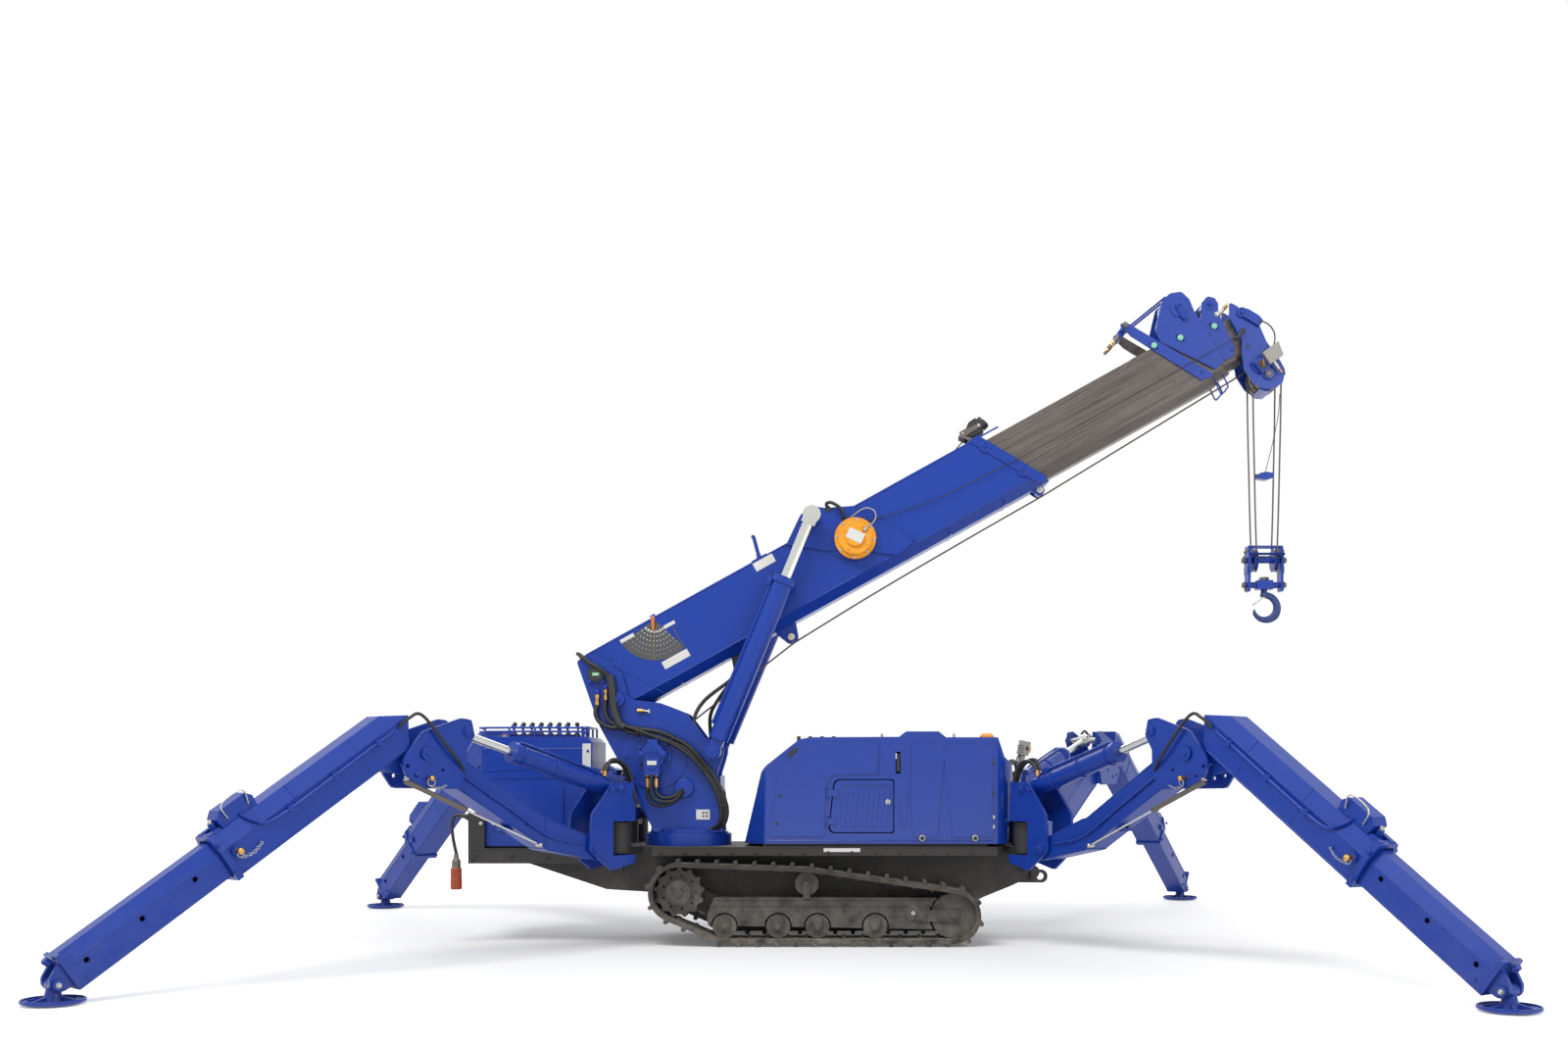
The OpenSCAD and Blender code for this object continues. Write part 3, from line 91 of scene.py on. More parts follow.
def leg_places(name):
    """The frames of one outrigger: its plane, its outer arm and its lift cylinder, with the arm's span."""
    px, py, fx, fy = POSTS[name]
    reach = math.hypot(fx - px, fy - py)
    leg = place((px, py, 0), math.atan2(fy - py, fx - px))
    run, drop = reach - KNUCKLE[0], KNUCKLE[2] - FOOT_PIN_Z
    span = math.sqrt(run * run + drop * drop - FOOT_DROP * FOOT_DROP)
    slope = math.atan2(-drop, run) - math.atan2(FOOT_DROP, span)
    arm = place(KNUCKLE, 0, slope, leg)
    rise = math.atan2(ROD_PIN[2] - UPPER_PIN[2], ROD_PIN[0] - UPPER_PIN[0])
    lift = place(UPPER_PIN, 0, rise, leg)
    return {"leg": leg, "arm": arm, "lift": lift, "span": span, "slope": slope, "reach": reach}


LEGS = {name: leg_places(name) for name in POSTS}


def linear(code):
    """Linear colour from a hexadecimal screen colour."""
    parts = [int(code[i : i + 2], 16) / 255 for i in (0, 2, 4)]
    return tuple(c / 12.92 if c <= 0.04045 else ((c + 0.055) / 1.055) ** 2.4 for c in parts)


class MiniCraneColours(bpy.types.PropertyGroup):
    """Colours a user would change."""

    paint: FloatVectorProperty(
        name="Paint", description="Enamel on the boom, mast, cowl and legs", subtype="COLOR", default=linear("10399A")
    )
    chassis: FloatVectorProperty(
        name="Chassis", description="Dull black of the chassis and track frames", subtype="COLOR", default=linear("2B2928")
    )
    rubber: FloatVectorProperty(
        name="Rubber", description="Track belts", subtype="COLOR", default=linear("2A2725")
    )
    slide: FloatVectorProperty(
        name="Bare section", description="Unpainted steel of the telescoping sections", subtype="COLOR", default=linear("675F5A")
    )
    reel: FloatVectorProperty(
        name="Cable reel", description="Yellow of the cable reel", subtype="COLOR", default=linear("F2A312")
    )
    plug: FloatVectorProperty(
        name="Plug", description="Moulded body of the power plug", subtype="COLOR", default=linear("A4431D")
    )
    backdrop: FloatVectorProperty(
        name="Floor", description="Pale floor of the studio", subtype="COLOR", default=linear("F4F4F4")
    )


class MiniCraneSizes(bpy.types.PropertyGroup):
    """Sizes a user would change, in metres."""

    hose: FloatProperty(
        name="Hose radius", description="Outer radius of a pressure hose", default=0.0095, min=0.005, max=0.02, unit="LENGTH"
    )
    rope: FloatProperty(
        name="Rope radius", description="Radius of the hoist rope", default=0.004, min=0.003, max=0.006, unit="LENGTH"
    )
    wire: FloatProperty(
        name="Wire radius", description="Radius of the thin signal cables", default=0.0028, min=0.001, max=0.005, unit="LENGTH"
    )
    bolt: FloatProperty(
        name="Bolt head", description="Radius of a common bolt head", default=0.009, min=0.004, max=0.02, unit="LENGTH"
    )
    hose_sides: IntProperty(name="Hose sides", description="Faces round a hose", default=12, min=6, max=32)


def colours():
    return bpy.context.scene.mini_crane_colours


def sizes():
    return bpy.context.scene.mini_crane_sizes


# Shared shader effects


class Nodes:
    """Short hand for placing and joining nodes in one tree."""

    def __init__(self, tree):
        self.tree = tree
        self.count = 0

    def add(self, kind, values=None, **settings):
        node = self.tree.nodes.new(kind)
        node.location = (180 * (self.count % 8), -220 * (self.count // 8))
        self.count += 1
        for key, value in settings.items():
            setattr(node, key, value)
        for key, value in (values or {}).items():
            if isinstance(value, bpy.types.NodeSocket):
                self.tree.links.new(value, node.inputs[key])
            else:
                node.inputs[key].default_value = value
        return node

    def math(self, operation, a, b=0.0, c=None):
        values = {0: a, 1: b}
        if c is not None:
            values[2] = c
        return self.add("ShaderNodeMath", values, operation=operation).outputs[0]


def new_group(name, takes, gives):
    """An empty effect group. takes and gives are lists of (name, socket kind, default)."""
    tree = bpy.data.node_groups.new(name, "ShaderNodeTree")
    for label, kind, value in takes:
        socket = tree.interface.new_socket(label, in_out="INPUT", socket_type=kind)
        if value is not None:
            socket.default_value = value
    for label, kind in gives:
        tree.interface.new_socket(label, in_out="OUTPUT", socket_type=kind)
    nodes = Nodes(tree)
    return tree, nodes, nodes.add("NodeGroupInput"), nodes.add("NodeGroupOutput")


def tone_group():
    """Broad drift of a colour over a surface."""
    tree, n, inside, out = new_group(
        "Tone drift",
        [("Colour", "NodeSocketColor", (0.5, 0.5, 0.5, 1)), ("Amount", "NodeSocketFloat", 0.1), ("Scale", "NodeSocketFloat", 5.0)],
        [("Colour", "NodeSocketColor"), ("Value", "NodeSocketFloat")],
    )
    at = n.add("ShaderNodeTexCoord").outputs["Object"]
    noise = n.add("ShaderNodeTexNoise", {"Vector": at, "Scale": inside.outputs["Scale"], "Detail": 4.0})
    drift = n.math("SUBTRACT", noise.outputs["Fac"], 0.5)
    gain = n.math("MULTIPLY_ADD", drift, inside.outputs["Amount"], 1.0)
    scaled = n.add("ShaderNodeVectorMath", {0: inside.outputs["Colour"], "Scale": gain}, operation="SCALE")
    tree.links.new(scaled.outputs[0], out.inputs["Colour"])
    tree.links.new(noise.outputs["Fac"], out.inputs["Value"])
    return tree


def edge_group():
    """Softened edges: a rounded normal, and a mask of where the surface turns sharply."""
    tree, n, inside, out = new_group(
        "Soft edges",
        [("Size", "NodeSocketFloat", 0.002), ("Amount", "NodeSocketFloat", 0.5), ("Scale", "NodeSocketFloat", 40.0)],
        [("Mask", "NodeSocketFloat"), ("Normal", "NodeSocketVector")],
    )
    bevel = n.add("ShaderNodeBevel", {"Radius": inside.outputs["Size"]}, samples=4)
    flat = n.add("ShaderNodeNewGeometry").outputs["Normal"]
    dot = n.add("ShaderNodeVectorMath", {0: bevel.outputs[0], 1: flat}, operation="DOT_PRODUCT")
    turn = n.math("MULTIPLY", n.math("SUBTRACT", 1.0, dot.outputs["Value"]), 9.0)
    at = n.add("ShaderNodeTexCoord").outputs["Object"]
    noise = n.add("ShaderNodeTexNoise", {"Vector": at, "Scale": inside.outputs["Scale"], "Detail": 3.0})
    broken = n.add("ShaderNodeMapRange", {"Value": noise.outputs["Fac"], "From Min": 0.42, "From Max": 0.62})
    mask = n.math("MULTIPLY", n.math("MINIMUM", turn, 1.0), broken.outputs[0])
    tree.links.new(n.math("MULTIPLY", mask, inside.outputs["Amount"]), out.inputs["Mask"])
    tree.links.new(bevel.outputs[0], out.inputs["Normal"])
    return tree


def dust_group():
    """Where dust settles: upward faces, and everything close to the ground."""
    tree, n, inside, out = new_group(
        "Settled dust",
        [("Amount", "NodeSocketFloat", 0.2), ("Height", "NodeSocketFloat", 0.45)],
        [("Mask", "NodeSocketFloat")],
    )
    up = n.add("ShaderNodeSeparateXYZ", {0: n.add("ShaderNodeNewGeometry").outputs["Normal"]}).outputs["Z"]
    at = n.add("ShaderNodeTexCoord").outputs["Object"]
    z = n.add("ShaderNodeSeparateXYZ", {0: at}).outputs["Z"]
    top = n.math("MULTIPLY", n.math("POWER", n.math("MAXIMUM", up, 0.0), 3.0), 0.55)
    low = n.add("ShaderNodeMapRange", {"Value": z, "From Min": inside.outputs["Height"], "From Max": 0.0}).outputs[0]
    noise = n.add("ShaderNodeTexNoise", {"Vector": at, "Scale": 14.0, "Detail": 6.0, "Roughness": 0.65})
    cloud = n.add("ShaderNodeMapRange", {"Value": noise.outputs["Fac"], "From Min": 0.34, "From Max": 0.7}).outputs[0]
    total = n.math("MULTIPLY", n.math("ADD", top, low), cloud)
    tree.links.new(n.math("MULTIPLY", total, inside.outputs["Amount"]), out.inputs["Mask"])
    return tree


def grain_group():
    """Fine relief: coating texture with a slower waviness under it."""
    tree, n, inside, out = new_group(
        "Fine grain",
        [("Scale", "NodeSocketFloat", 400.0), ("Fine", "NodeSocketFloat", 0.3), ("Wave", "NodeSocketFloat", 0.3)],
        [("Height", "NodeSocketFloat")],
    )
    at = n.add("ShaderNodeTexCoord").outputs["Object"]
    fine = n.add("ShaderNodeTexNoise", {"Vector": at, "Scale": inside.outputs["Scale"], "Detail": 2.0}).outputs["Fac"]
    wave = n.add("ShaderNodeTexNoise", {"Vector": at, "Scale": 9.0, "Detail": 1.0}).outputs["Fac"]
    small = n.math("MULTIPLY", fine, inside.outputs["Fine"])
    tree.links.new(n.math("MULTIPLY_ADD", wave, inside.outputs["Wave"], small), out.inputs["Height"])
    return tree


def boom_coordinates(n):
    """Object coordinates turned into the boom's own frame."""
    at = n.add("ShaderNodeTexCoord").outputs["Object"]
    turn = Matrix.Rotation(BOOM_TILT, 3, "Y")
    shift = -(turn @ (Vector(FOOT_PIN) * 0.001))
    return n.add("ShaderNodeMapping", {"Vector": at, "Rotation": (0, BOOM_TILT, 0), "Location": shift}).outputs[0]


EFFECTS = {}
FINISHES = {}


def effects():
    if not EFFECTS:
        EFFECTS.update(tone=tone_group(), edge=edge_group(), dust=dust_group(), grain=grain_group())
    return EFFECTS


DUST = (0.33, 0.29, 0.24, 1)


def finish(name, colour, rough=0.4, metal=0.0, drift=0.15, scale=5.0, grain=400.0, fine=0.2, wave=0.3, bump=0.1,
           edge_wear_and_highlight=0.0, bare=(0.35, 0.34, 0.33, 1), dust=0.1, coat=0.0, edge=0.0015, glow=0.0, streak=0.0, painted=None, shine=0.5):
    """One Principled finish built from the shared effects."""
    if name in FINISHES:
        return FINISHES[name]
    made = bpy.data.materials.new(name)
    made.use_nodes = True
    tree = made.node_tree
    tree.nodes.clear()
    n = Nodes(tree)
    shared = effects()

    def effect(kind, values):
        node = n.add("ShaderNodeGroup", node_tree=shared[kind])
        for key, value in values.items():
            node.inputs[key].default_value = value
        return node

    base = (colour[0], colour[1], colour[2], 1)
    tone = effect("tone", {"Colour": base, "Amount": drift, "Scale": scale})
    edges = effect("edge", {"Size": edge, "Amount": edge_wear_and_highlight})
    settled = effect("dust", {"Amount": dust})
    relief = effect("grain", {"Scale": grain, "Fine": fine, "Wave": wave})
    tint = tone.outputs["Colour"]
    along = boom_coordinates(n) if streak or painted else None
    if streak:
        drawn = n.add("ShaderNodeVectorMath", {0: along, 1: (1.2, 8.0, 34.0)}, operation="MULTIPLY").outputs[0]
        lines = n.add("ShaderNodeTexNoise", {"Vector": drawn, "Scale": 1.6, "Detail": 6.0, "Roughness": 0.7})
        mask = n.add("ShaderNodeMapRange", {"Value": lines.outputs["Fac"], "From Min": 0.42, "From Max": 0.68, "To Max": streak})
        smudge = n.add("ShaderNodeMix", {0: mask.outputs[0], 7: (0.055, 0.05, 0.046, 1)}, data_type="RGBA")
        tree.links.new(tint, smudge.inputs[6])
        tint = smudge.outputs[2]
    # Edges take a second colour through the sharp-edge mask. On the dark, steel, reel, plug and hook finishes this is
    # real wear. On the blue enamel and gloss moulding it is a painted highlight, whose edge colour is a lighter blue.
    if edge_wear_and_highlight:
        worn_and_highlit = n.add("ShaderNodeMix", {0: edges.outputs["Mask"], 7: bare}, data_type="RGBA")
        tree.links.new(tint, worn_and_highlit.inputs[6])
        tint = worn_and_highlit.outputs[2]
    dusted = n.add("ShaderNodeMix", {0: settled.outputs["Mask"], 7: DUST}, data_type="RGBA")
    tree.links.new(tint, dusted.inputs[6])
    dull = n.math("MULTIPLY_ADD", tone.outputs["Value"], 0.16, rough - 0.08)
    dull = n.math("MULTIPLY_ADD", settled.outputs["Mask"], 0.5, dull)
    relief_bump = n.add("ShaderNodeBump", {"Strength": bump, "Distance": 0.002})
    tree.links.new(relief.outputs["Height"], relief_bump.inputs["Height"])
    tree.links.new(edges.outputs["Normal"], relief_bump.inputs["Normal"])
    shader = n.add("ShaderNodeBsdfPrincipled", {"Metallic": metal, "Coat Weight": coat, "Coat Roughness": 0.12,
                                                "Specular IOR Level": shine})
    if painted:
        side, top = painted
        parts = n.add("ShaderNodeSeparateXYZ", {0: along})
        proud = n.math("GREATER_THAN", n.math("ABSOLUTE", parts.outputs["Y"]), side)
        mask = n.math("MAXIMUM", proud, n.math("GREATER_THAN", parts.outputs["Z"], top))
        enamel = effect("tone", {"Colour": (*colours().paint, 1), "Amount": 0.14, "Scale": 2.5})
        both = n.add("ShaderNodeMix", {0: mask, 7: enamel.outputs["Colour"]}, data_type="RGBA")
        tree.links.new(tint, both.inputs[6])
        tint = both.outputs[2]
        tree.links.new(tint, dusted.inputs[6])
        tree.links.new(n.math("MULTIPLY_ADD", mask, -metal, metal), shader.inputs["Metallic"])
        dull = n.math("MULTIPLY_ADD", mask, -0.08, dull)
    tree.links.new(dusted.outputs[2], shader.inputs["Base Color"])
    tree.links.new(dull, shader.inputs["Roughness"])
    tree.links.new(relief_bump.outputs[0], shader.inputs["Normal"])
    if glow:
        shader.inputs["Emission Strength"].default_value = glow
        tree.links.new(tone.outputs["Colour"], shader.inputs["Emission Color"])
    out = n.add("ShaderNodeOutputMaterial")
    tree.links.new(shader.outputs[0], out.inputs[0])
    made.diffuse_color = base
    FINISHES[name] = made
    return made


def paint():
    # The lighter blue given for the edges is a painted highlight along the sharp edges.
    return finish("blue_enamel", colours().paint, rough=0.36, drift=0.14, scale=2.5, grain=620, fine=0.25, wave=0.6, bump=0.16,
                  edge_wear_and_highlight=0.3, bare=(0.10, 0.16, 0.46, 1), dust=0.12, coat=0.1, edge=0.0022, shine=0.32)


def gloss_paint():
    # The lighter blue given for the edges is a painted highlight along the sharp edges.
    return finish("blue_gloss_moulding", colours().paint, rough=0.2, drift=0.1, scale=2.0, grain=500, fine=0.1, wave=0.8, bump=0.08,
                  edge_wear_and_highlight=0.3, bare=(0.10, 0.16, 0.46, 1), dust=0.08, coat=0.45, edge=0.003, shine=0.3)


def part_painted(name, side, top):
    """Bare section with painted collars: paint lies outside its half width and above its top."""
    return finish(f"section_{name}", colours().slide, rough=0.44, metal=0.5, drift=0.35, scale=7, grain=300, fine=0.4, wave=0.6,
                  bump=0.2, dust=0.12, edge=0.002, streak=0.85, painted=(side, top))


def black_frame():
    return finish("chassis_black", colours().chassis, rough=0.62, drift=0.5, scale=9, grain=260, fine=0.6, wave=0.4, bump=0.3,
                  edge_wear_and_highlight=0.35, bare=(0.16, 0.14, 0.13, 1), dust=0.5, edge=0.002)


def rubber():
    return finish("track_rubber", colours().rubber, rough=0.78, drift=0.5, scale=12, grain=300, fine=0.9, wave=0.5, bump=0.5,
                  edge_wear_and_highlight=0.5, bare=(0.17, 0.15, 0.13, 1), dust=0.75, edge=0.003)


def wheel_iron():
    return finish("track_iron", linear("3A3735"), rough=0.6, drift=0.5, scale=11, grain=240, fine=0.8, wave=0.5, bump=0.4,
                  edge_wear_and_highlight=0.5, bare=(0.22, 0.2, 0.18, 1), dust=0.65, edge=0.002)


def chrome():
    return finish("chromed_rod", linear("CFCFCB"), rough=0.17, metal=1.0, drift=0.06, scale=16, grain=900, fine=0.15, wave=0.15,
                  bump=0.05, dust=0.05, edge=0.0012)


def cast_steel():
    return finish("worn_steel", linear("6E6862"), rough=0.42, metal=0.8, drift=0.4, scale=18, grain=320, fine=0.5, wave=0.4,
                  bump=0.25, edge_wear_and_highlight=0.5, bare=(0.6, 0.57, 0.53, 1), dust=0.15)


def zinc():
    return finish("zinc_plate", linear("B9B7AE"), rough=0.33, metal=0.9, drift=0.25, scale=60, grain=700, fine=0.3, wave=0.2, bump=0.1, dust=0.08)


def brass():
    return finish("brass_fitting", linear("C79A5B"), rough=0.3, metal=0.95, drift=0.2, scale=50, grain=700, fine=0.2, wave=0.2, bump=0.1, dust=0.1)


def hose_rubber():
    return finish("hose_rubber", linear("1B1B1C"), rough=0.5, drift=0.3, scale=30, grain=520, fine=0.5, wave=0.3, bump=0.25, dust=0.16)


def wire_sheath():
    return finish("wire_sheath", linear("1E1E20"), rough=0.46, drift=0.2, scale=50, grain=600, fine=0.3, wave=0.2, bump=0.1, dust=0.1)


def grey_cable():
    return finish("grey_cable", linear("9A9790"), rough=0.42, drift=0.15, scale=50, grain=600, fine=0.3, wave=0.2, bump=0.1, dust=0.1)


def black_moulding():
    return finish("black_moulding", linear("242526"), rough=0.5, drift=0.2, scale=30, grain=450, fine=0.6, wave=0.2, bump=0.25, dust=0.14)


def reel_yellow():
    return finish("reel_enamel", colours().reel, rough=0.4, drift=0.12, scale=12, grain=500, fine=0.3, wave=0.5, bump=0.16,
                  edge_wear_and_highlight=0.5, bare=(0.12, 0.1, 0.08, 1), dust=0.12, coat=0.2)


def white_plate():
    return finish("blank_plate", linear("DAD9D4"), rough=0.4, drift=0.1, scale=30, grain=500, fine=0.2, wave=0.3, bump=0.06, dust=0.12)


def chart_grey():
    return finish("chart_grey", linear("4A4A4C"), rough=0.45, drift=0.12, scale=30, grain=500, fine=0.2, wave=0.2, bump=0.06, dust=0.08)


def green_cap():
    return finish("grease_cap", linear("8FCFA8"), rough=0.42, drift=0.15, scale=80, grain=500, fine=0.3, wave=0.2, bump=0.1, dust=0.1)


def orange_mark():
    return finish("orange_pointer", linear("C8742A"), rough=0.45, drift=0.2, scale=40, grain=500, fine=0.3, wave=0.2, bump=0.1, edge_wear_and_highlight=0.3, dust=0.1)


def amber_lens():
    return finish("amber_lens", linear("F0912A"), rough=0.28, drift=0.3, scale=60, grain=300, fine=0.4, wave=0.3, bump=0.2, coat=0.3, dust=0.06, glow=0.08)


def plug_red():
    return finish("plug_moulding", colours().plug, rough=0.5, drift=0.35, scale=40, grain=400, fine=0.5, wave=0.3, bump=0.2, edge_wear_and_highlight=0.4,
                  bare=(0.62, 0.3, 0.18, 1), dust=0.25)


def lamp_glass():
    return finish("lamp_glass", linear("C9CCCE"), rough=0.12, metal=0.2, drift=0.2, scale=70, grain=160, fine=0.6, wave=0.2, bump=0.3, coat=1.0, dust=0.02)


def rope_steel():
    return finish("rope_wire", linear("5B5650"), rough=0.48, metal=0.7, drift=0.5, scale=160, grain=900, fine=1.0, wave=0.2, bump=0.6, dust=0.05)


def hook_paint():
    return finish("hook_enamel", linear("23376F"), rough=0.5, drift=0.4, scale=22, grain=300, fine=0.5, wave=0.5, bump=0.3,
                  edge_wear_and_highlight=0.9, bare=(0.22, 0.19, 0.17, 1), dust=0.15, edge=0.004)


# Mesh building


def mid(a, b, t):
    return Vector(a) * (1 - t) + Vector(b) * t


def smooth_path(points, steps=8):
    """Catmull-Rom line through the points."""
    p = [Vector(q) for q in points]
    if len(p) < 3:
        return [mid(p[0], p[-1], i / steps) for i in range(steps + 1)]
    p = [p[0] * 2 - p[1]] + p + [p[-1] * 2 - p[-2]]
    line = []
    for i in range(1, len(p) - 2):
        a, b, c, d = p[i - 1 : i + 3]
        for k in range(steps):
            t = k / steps
            line.append(0.5 * (2 * b + (c - a) * t + (2 * a - 5 * b + 4 * c - d) * t * t + (3 * b - a - 3 * c + d) * t ** 3))
    return line + [p[-2]]


def basis(axis):
    """Two directions square to an axis."""
    w = Vector(axis).normalized()
    u = w.cross(Vector((0, 0, 1)) if abs(w.z) < 0.9 else Vector((1, 0, 0))).normalized()
    return u, w.cross(u)


class Piece:
    """Faces gathered in millimetres in one place's frame, made into one object by ride()."""

    def __init__(self, name, where=ROW):
        self.name = name
        self.where = where
        self.verts, self.faces, self.slots, self.finishes = [], [], [], []

    def add(self, verts, faces, finish_used):
        base = len(self.verts)
        self.verts += [self.where @ Vector(v) for v in verts]
        if finish_used not in self.finishes:
            self.finishes.append(finish_used)
        slot = self.finishes.index(finish_used)
        for f in faces:
            self.faces.append([base + i for i in f])
            self.slots.append(slot)
        return self

    def loft(self, rings, mat, closed=False, caps=True):
        n = len(rings[0])
        faces = []
        for i in range(len(rings) if closed else len(rings) - 1):
            a, b = i * n, (i + 1) % len(rings) * n
            faces += [[a + k, a + (k + 1) % n, b + (k + 1) % n, b + k] for k in range(n)]
        if caps and not closed:
            last = (len(rings) - 1) * n
            faces += [list(range(n))[::-1], list(range(last, last + n))]
        return self.add([v for ring in rings for v in ring], faces, mat)

    def turned(self, start, end, profile, mat, sides=20, closed=False):
        """Revolves (distance, radius) pairs about the line from start."""
        a = Vector(start)
        w = (Vector(end) - a).normalized()
        u, v = basis(w)
        rings = []
        for s, r in profile:
            rings.append([a + w * s + (u * math.cos(q) + v * math.sin(q)) * r for q in
                          [2 * math.pi * k / sides for k in range(sides)]])
        return self.loft(rings, mat, closed)

    def rod(self, a, b, r, mat, sides=16, edge=None, r2=None):
        length = (Vector(b) - Vector(a)).length
        c = min(0.8, r * 0.2, length * 0.3) if edge is None else edge
        r2 = r if r2 is None else r2
        return self.turned(a, b, [(0, r - c), (c, r), (length - c, r2), (length, r2 - c)], mat, sides)

    def disc(self, at, axis, r, h, mat, sides=28, edge=1.0):
        """Short round boss standing on a surface."""
        a = Vector(at)
        return self.rod(a, a + Vector(axis).normalized() * h, r, mat, sides, edge)

    def pipe(self, a, b, r, hole, mat, sides=24):
        """Open sleeve."""
        length = (Vector(b) - Vector(a)).length
        return self.turned(a, b, [(0, r), (length, r), (length, hole), (0, hole)], mat, sides, closed=True)

    def slab(self, outline, low, high, mat, axis="y"):
        """Flat plate of an outline, between two planes square to an axis."""
        def at(p, s):
            return {"y": (p[0], s, p[1]), "x": (s, p[0], p[1]), "z": (p[0], p[1], s)}[axis]
        return self.loft([[at(p, low) for p in outline], [at(p, high) for p in outline]], mat)

    def box(self, low, high, mat):
        a, b = low, high
        return self.slab([(a[0], a[2]), (b[0], a[2]), (b[0], b[2]), (a[0], b[2])], a[1], b[1], mat)

    def tube(self, points, r, mat, sides=10, steps=6, smooth=True):
        """Round bar bent along a line."""
        line = smooth_path(points, steps) if smooth else [Vector(p) for p in points]
        self.loft(rings_along(line, r, sides), mat)
        return line

    def hoop(self, at, axis, big, r, mat, start=0.0, stop=360.0, sides=8, steps=28):
        """Ring, or part of one."""
        u, v = basis(axis)
        whole = abs(stop - start) >= 360
        count = steps if whole else steps + 1
        line = []
        for k in range(count):
            q = math.radians(start + (stop - start) * k / steps)
            line.append(Vector(at) + (u * math.cos(q) + v * math.sin(q)) * big)
        if whole:
            w = Vector(axis).normalized()
            rings = []
            for p in line:
                out = (p - Vector(at)).normalized()
                rings.append([p + (out * math.cos(2 * math.pi * k / sides) + w * math.sin(2 * math.pi * k / sides)) * r for k in range(sides)])
            return self.loft(rings, mat, closed=True)
        return self.loft(rings_along(line, r, sides), mat)

    def bolt(self, at, axis, mat=None, r=None, washer=True):
        """Hexagon head with its washer."""
        r = sizes().bolt * 1000 if r is None else r
        mat = zinc() if mat is None else mat
        a, w = Vector(at), Vector(axis).normalized()
        if washer:
            self.rod(a - w * 1, a + w * 1.6, r * 1.25, mat, 16, 0.3)
        self.turned(a + w, a + w * 2, [(0, r * 0.96), (0.6 * r, r), (0.78 * r, r * 0.86)], mat, 6)
        return self

    def ball(self, at, r, mat, sides=14):
        rings = [(r * (1 - math.cos(q)), max(0.02, r * math.sin(q))) for q in [math.pi * k / 8 for k in range(9)]]
        a = Vector(at)
        return self.turned(a - Vector((0, 0, r)), a, rings, mat, sides)

    def make(self, bevel=0.0, angle=38.0):
        mesh = bpy.data.meshes.new(self.name)
        mesh.from_pydata([tuple(v) for v in self.verts], [], self.faces)
        for used in self.finishes:
            mesh.materials.append(used)
        mesh.polygons.foreach_set("material_index", self.slots)
        work = bmesh.new()
        work.from_mesh(mesh)
        bmesh.ops.recalc_face_normals(work, faces=work.faces)
        work.to_mesh(mesh)
        work.free()
        mesh.polygons.foreach_set("use_smooth", [True] * len(mesh.polygons))
        mesh.set_sharp_from_angle(angle=math.radians(angle))
        made = bpy.data.objects.new(self.name, mesh)
        bpy.context.scene.collection.objects.link(made)
        if bevel:
            soft = made.modifiers.new("Softened edges", "BEVEL")
            soft.width = bevel / 1000
            soft.segments = 2
            soft.limit_method = "ANGLE"
            soft.angle_limit = math.radians(40)
            soft.harden_normals = True
        return made

    def ride(self, body, bevel=0.0, angle=38.0):
        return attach(self.make(bevel, angle), body)


def rings_along(line, r, sides):
    """Rings of a tube that doesn't twist."""
    rings = []
    u = None
    for i, p in enumerate(line):
        w = (line[min(i + 1, len(line) - 1)] - line[max(i - 1, 0)]).normalized()
        if u is None:
            u, _ = basis(w)
        u = (u - w * u.dot(w)).normalized()
        v = w.cross(u)
        rings.append([p + (u * math.cos(2 * math.pi * k / sides) + v * math.sin(2 * math.pi * k / sides)) * r for k in range(sides)])
    return rings


def hose(name, points, where=ROW, body=None, bend=None, r=None, mat=None, steps=8, far_end="object", stiffness="stiff",
         lay="hanging", with_pieces=(), declared=True):
    """A hose, cable or rope along a smooth line, riding on body.

    bend = (body, body, start, end): when it is given, the line is baked into the world frame and rides on no body.
    """
    r = sizes().hose * 1000 if r is None else r
    piece = Piece(name, where)
    line = piece.tube(points, r, hose_rubber() if mat is None else mat, sizes().hose_sides, steps)
    made = piece.make(angle=80)
    if bend:
        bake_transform(made)
    else:
        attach(made, body)
    return made


# Camera, lead and finishes of the frame


class MINICRANE_OT_camera(bpy.types.Operator):
    """Sets the camera at the height and distance of the picture"""

    bl_idname = "minicrane.camera"
    bl_label = "Camera"

    def execute(self, context):
        data = bpy.data.cameras.new("camera")
        data.lens = 36.0
        data.sensor_width = 36.0
        data.shift_x = -0.04125
        data.shift_y = 0.15875
        data.clip_end = 200.0
        camera = bpy.data.objects.new("camera", data)
        camera.location = (0.265, -7.51, 0.80)
        camera.rotation_euler = (math.radians(90), 0, 0)
        context.scene.collection.objects.link(camera)
        context.scene.camera = camera
        return {"FINISHED"}


LEAD_ROUTE = [(-1501, -226, 588), (-1515, -226, 588), (-1538, -226, 596), (-1560, -226, 595), (-1574, -226, 578),
              (-1578, -226, 545), (-1574, -226, 500), (-1566, -226, 455), (-1558, -226, 418), (-1558, -226, 392.5)]


